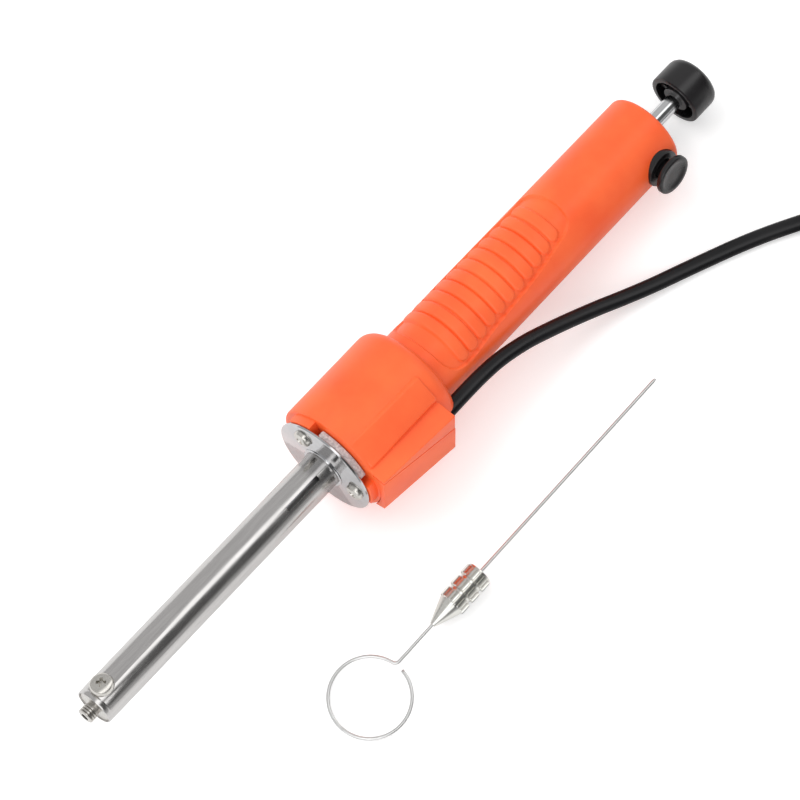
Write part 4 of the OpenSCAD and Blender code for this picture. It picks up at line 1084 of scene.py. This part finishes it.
def ring_point(angle):
    """A point of the finger ring, by its angle from the needle's direction, in degrees."""
    turn = math.radians(angle)
    return Vector((RING_R + RING_R * math.cos(turn), RING_SHIFT + RING_R * math.sin(turn), 0))


def bend_point(angle):
    """A point of the bend that leads from the ring into the straight wire."""
    turn = math.radians(angle)
    return Vector((NEEDLE_START + BEND_R * math.cos(turn), BEND_R + BEND_R * math.sin(turn), 0))


ring_line = [ring_point(a) for a in range(352, 10, -4)]
bend_line = [bend_point(a) for a in range(190, 271, 10)]
needle_line = ring_line + bend_line + [
    Vector((NEEDLE_START + d, 0, 0)) for d in (10, 30, 60, 90, 109, 109.7, NEEDLE_L)
]
needle = swept_tube("needle_wire", needle_line, NEEDLE_WIRE, NEEDLE_WIRE)
for vertex in needle.data.vertices:
    beyond = vertex.co.x / MM - (NEEDLE_START + NEEDLE_L - POINT_L)
    if beyond > 0:
        share = 1 - beyond / POINT_L * 0.5
        vertex.co.y *= share
        vertex.co.z *= share
needle.data.transform(AT_NEEDLE)
finish_piece(needle, needle_steel, "needle_steel", "needle", "cleaning_needle")

# %% [markdown]
# ## Springs
#
# The main spring stands between the pump's front plug and the piston, and the small one between
# the latch plate and the cylinder's wall. When the plunger or the button moves, a spring has to
# stretch or close up. Here each spring is only a copy of its CAD node, in the CAD model's shape
# and place, and its ends don't follow the moving piece.

# %% Copy the springs
def following_spring(node, body, fixed_end, moving_end):
    """Stands for a spring's node with a copy of its mesh in the CAD shape, and hides the node. The
    body only goes into the print, and fixed_end and moving_end are not used.
    """
    mesh = NODES[node].data.copy()
    mesh.transform(NODES[node].matrix_world)
    spring = bpy.data.objects.new(node + "_coils", mesh)
    bpy.context.scene.collection.objects.link(spring)
    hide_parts(node)
    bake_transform(spring)
    print(spring.name, "runs from the iron to the", body)


MAIN_SPRING_XS = (143.1, 176.0)
BUTTON_SPRING_UPS = (-9.7, -5.3)
following_spring("main_spring", "plunger", *(
    LAY @ (Vector((x, 0, 0)) * MM) for x in MAIN_SPRING_XS
))
following_spring("button_spring", "button", *(
    LAY @ around(BUTTON_TURN) @ (Vector((BUTTON_X, 0, up)) * MM) for up in BUTTON_SPRING_UPS
))

# %% [markdown]
# ## Studio
#
# The picture is a plain product shot on a white table. A large soft lamp from the left gives the
# light its direction, and a weaker one from the front fills the shadow. The big lamp is hidden
# from reflections, because its square would show as a white wedge in the polished barrel.

# %% Set the lamps
def area_lamp(name, place, size, power):
    """A soft square lamp at a place in metres, turned to the middle of the table."""
    data = bpy.data.lights.new(name, "AREA")
    data.shape = "SQUARE"
    data.size = size
    data.energy = power
    lamp = bpy.data.objects.new(name, data)
    bpy.context.scene.collection.objects.link(lamp)
    lamp.location = place
    lamp.rotation_euler = (-Vector(place)).to_track_quat("-Z", "Y").to_euler()
    return lamp


key_lamp = area_lamp("key_lamp", (-0.25, 0.6, 0.9), 0.9, 6.0)
key_lamp.visible_glossy = False
fill_lamp = area_lamp("fill_lamp", (-0.8, -0.7, 0.8), 0.8, 3.0)
print("lamps:", key_lamp.name, "and", fill_lamp.name)

# %% [markdown]
# The world lights everything evenly. Polished metal shows what stands around it, so a
# photographer sets up white and black cards. Here glossy rays see such cards: a ramp of greys
# over the direction's lean, which is its angle from straight up to the iron's left or right. The
# bright card makes the line along the barrel, and the dark one makes the band beside it. The
# camera itself sees the world as plain white.

# %% Set up the world and its cards
AMBIENT = 0.8
CARD_STOPS = [
    (0.0, 0.55), (0.30, 0.62), (0.46, 0.50), (0.50, 1.7),
    (0.60, 1.7), (0.64, 0.12), (0.86, 0.10), (0.92, 0.45),
]

world = bpy.data.worlds.new("studio")
world.use_nodes = True
bpy.context.scene.world = world
sky = world.node_tree.nodes["Background"]
sky.inputs["Strength"].default_value = 1.0
nodes, links = world.node_tree.nodes, world.node_tree.links
direction = nodes.new("ShaderNodeTexCoord")
parts = nodes.new("ShaderNodeSeparateXYZ")
links.new(direction.outputs["Generated"], parts.inputs["Vector"])
lean = nodes.new("ShaderNodeMath")
lean.operation = "ARCTAN2"
links.new(parts.outputs["Y"], lean.inputs[0])
links.new(parts.outputs["Z"], lean.inputs[1])
share = nodes.new("ShaderNodeMapRange")
share.inputs["From Min"].default_value = math.pi / 2
share.inputs["From Max"].default_value = -math.pi / 2
links.new(lean.outputs["Value"], share.inputs["Value"])
cards = nodes.new("ShaderNodeValToRGB")
while len(cards.color_ramp.elements) < len(CARD_STOPS):
    cards.color_ramp.elements.new(0.5)
for element, (place, grey) in zip(cards.color_ramp.elements, CARD_STOPS):
    element.position = place
    element.color = (grey, grey, grey, 1)
links.new(share.outputs["Result"], cards.inputs["Fac"])
paths = nodes.new("ShaderNodeLightPath")


def for_rays(kind, plain_colour, ray_colour):
    """Gives rays of one kind their own colour; each colour is a grey or a socket."""
    mix = nodes.new("ShaderNodeMix")
    mix.data_type = "RGBA"
    links.new(paths.outputs[kind], mix.inputs[0])
    for socket, colour in ((mix.inputs[6], plain_colour), (mix.inputs[7], ray_colour)):
        if isinstance(colour, float):
            socket.default_value = (colour, colour, colour, 1)
        else:
            links.new(colour, socket)
    return mix.outputs[2]


lit = for_rays("Is Glossy Ray", AMBIENT, cards.outputs["Color"])
links.new(for_rays("Is Camera Ray", lit, 1.0), sky.inputs["Color"])
print("cards:", len(CARD_STOPS))

# %% [markdown]
# The table is white paper. To the camera only, it glows a little, so that it stays white where
# the lamps leave it grey. The object's shadow is still there, only fainter.

# %% Lay the paper
FLOOR_LIFT = 0.30

bpy.ops.object.select_all(action="DESELECT")
bpy.ops.mesh.primitive_plane_add(size=6, location=(0, 0, 0))
floor = bpy.context.object
floor.name = "floor"
paper = shader("paper", (0.9, 0.9, 0.9), 0.9)
floor.data.materials.append(paper)
paper_shade = paper.node_tree.nodes["Principled BSDF"]
paper_shade.inputs["Emission Color"].default_value = (1, 1, 1, 1)
paper_paths = paper.node_tree.nodes.new("ShaderNodeLightPath")
lift = paper.node_tree.nodes.new("ShaderNodeMath")
lift.operation = "MULTIPLY"
lift.inputs[1].default_value = FLOOR_LIFT
paper.node_tree.links.new(paper_paths.outputs["Is Camera Ray"], lift.inputs[0])
paper.node_tree.links.new(lift.outputs["Value"], paper_shade.inputs["Emission Strength"])
print("stage:", floor.name)
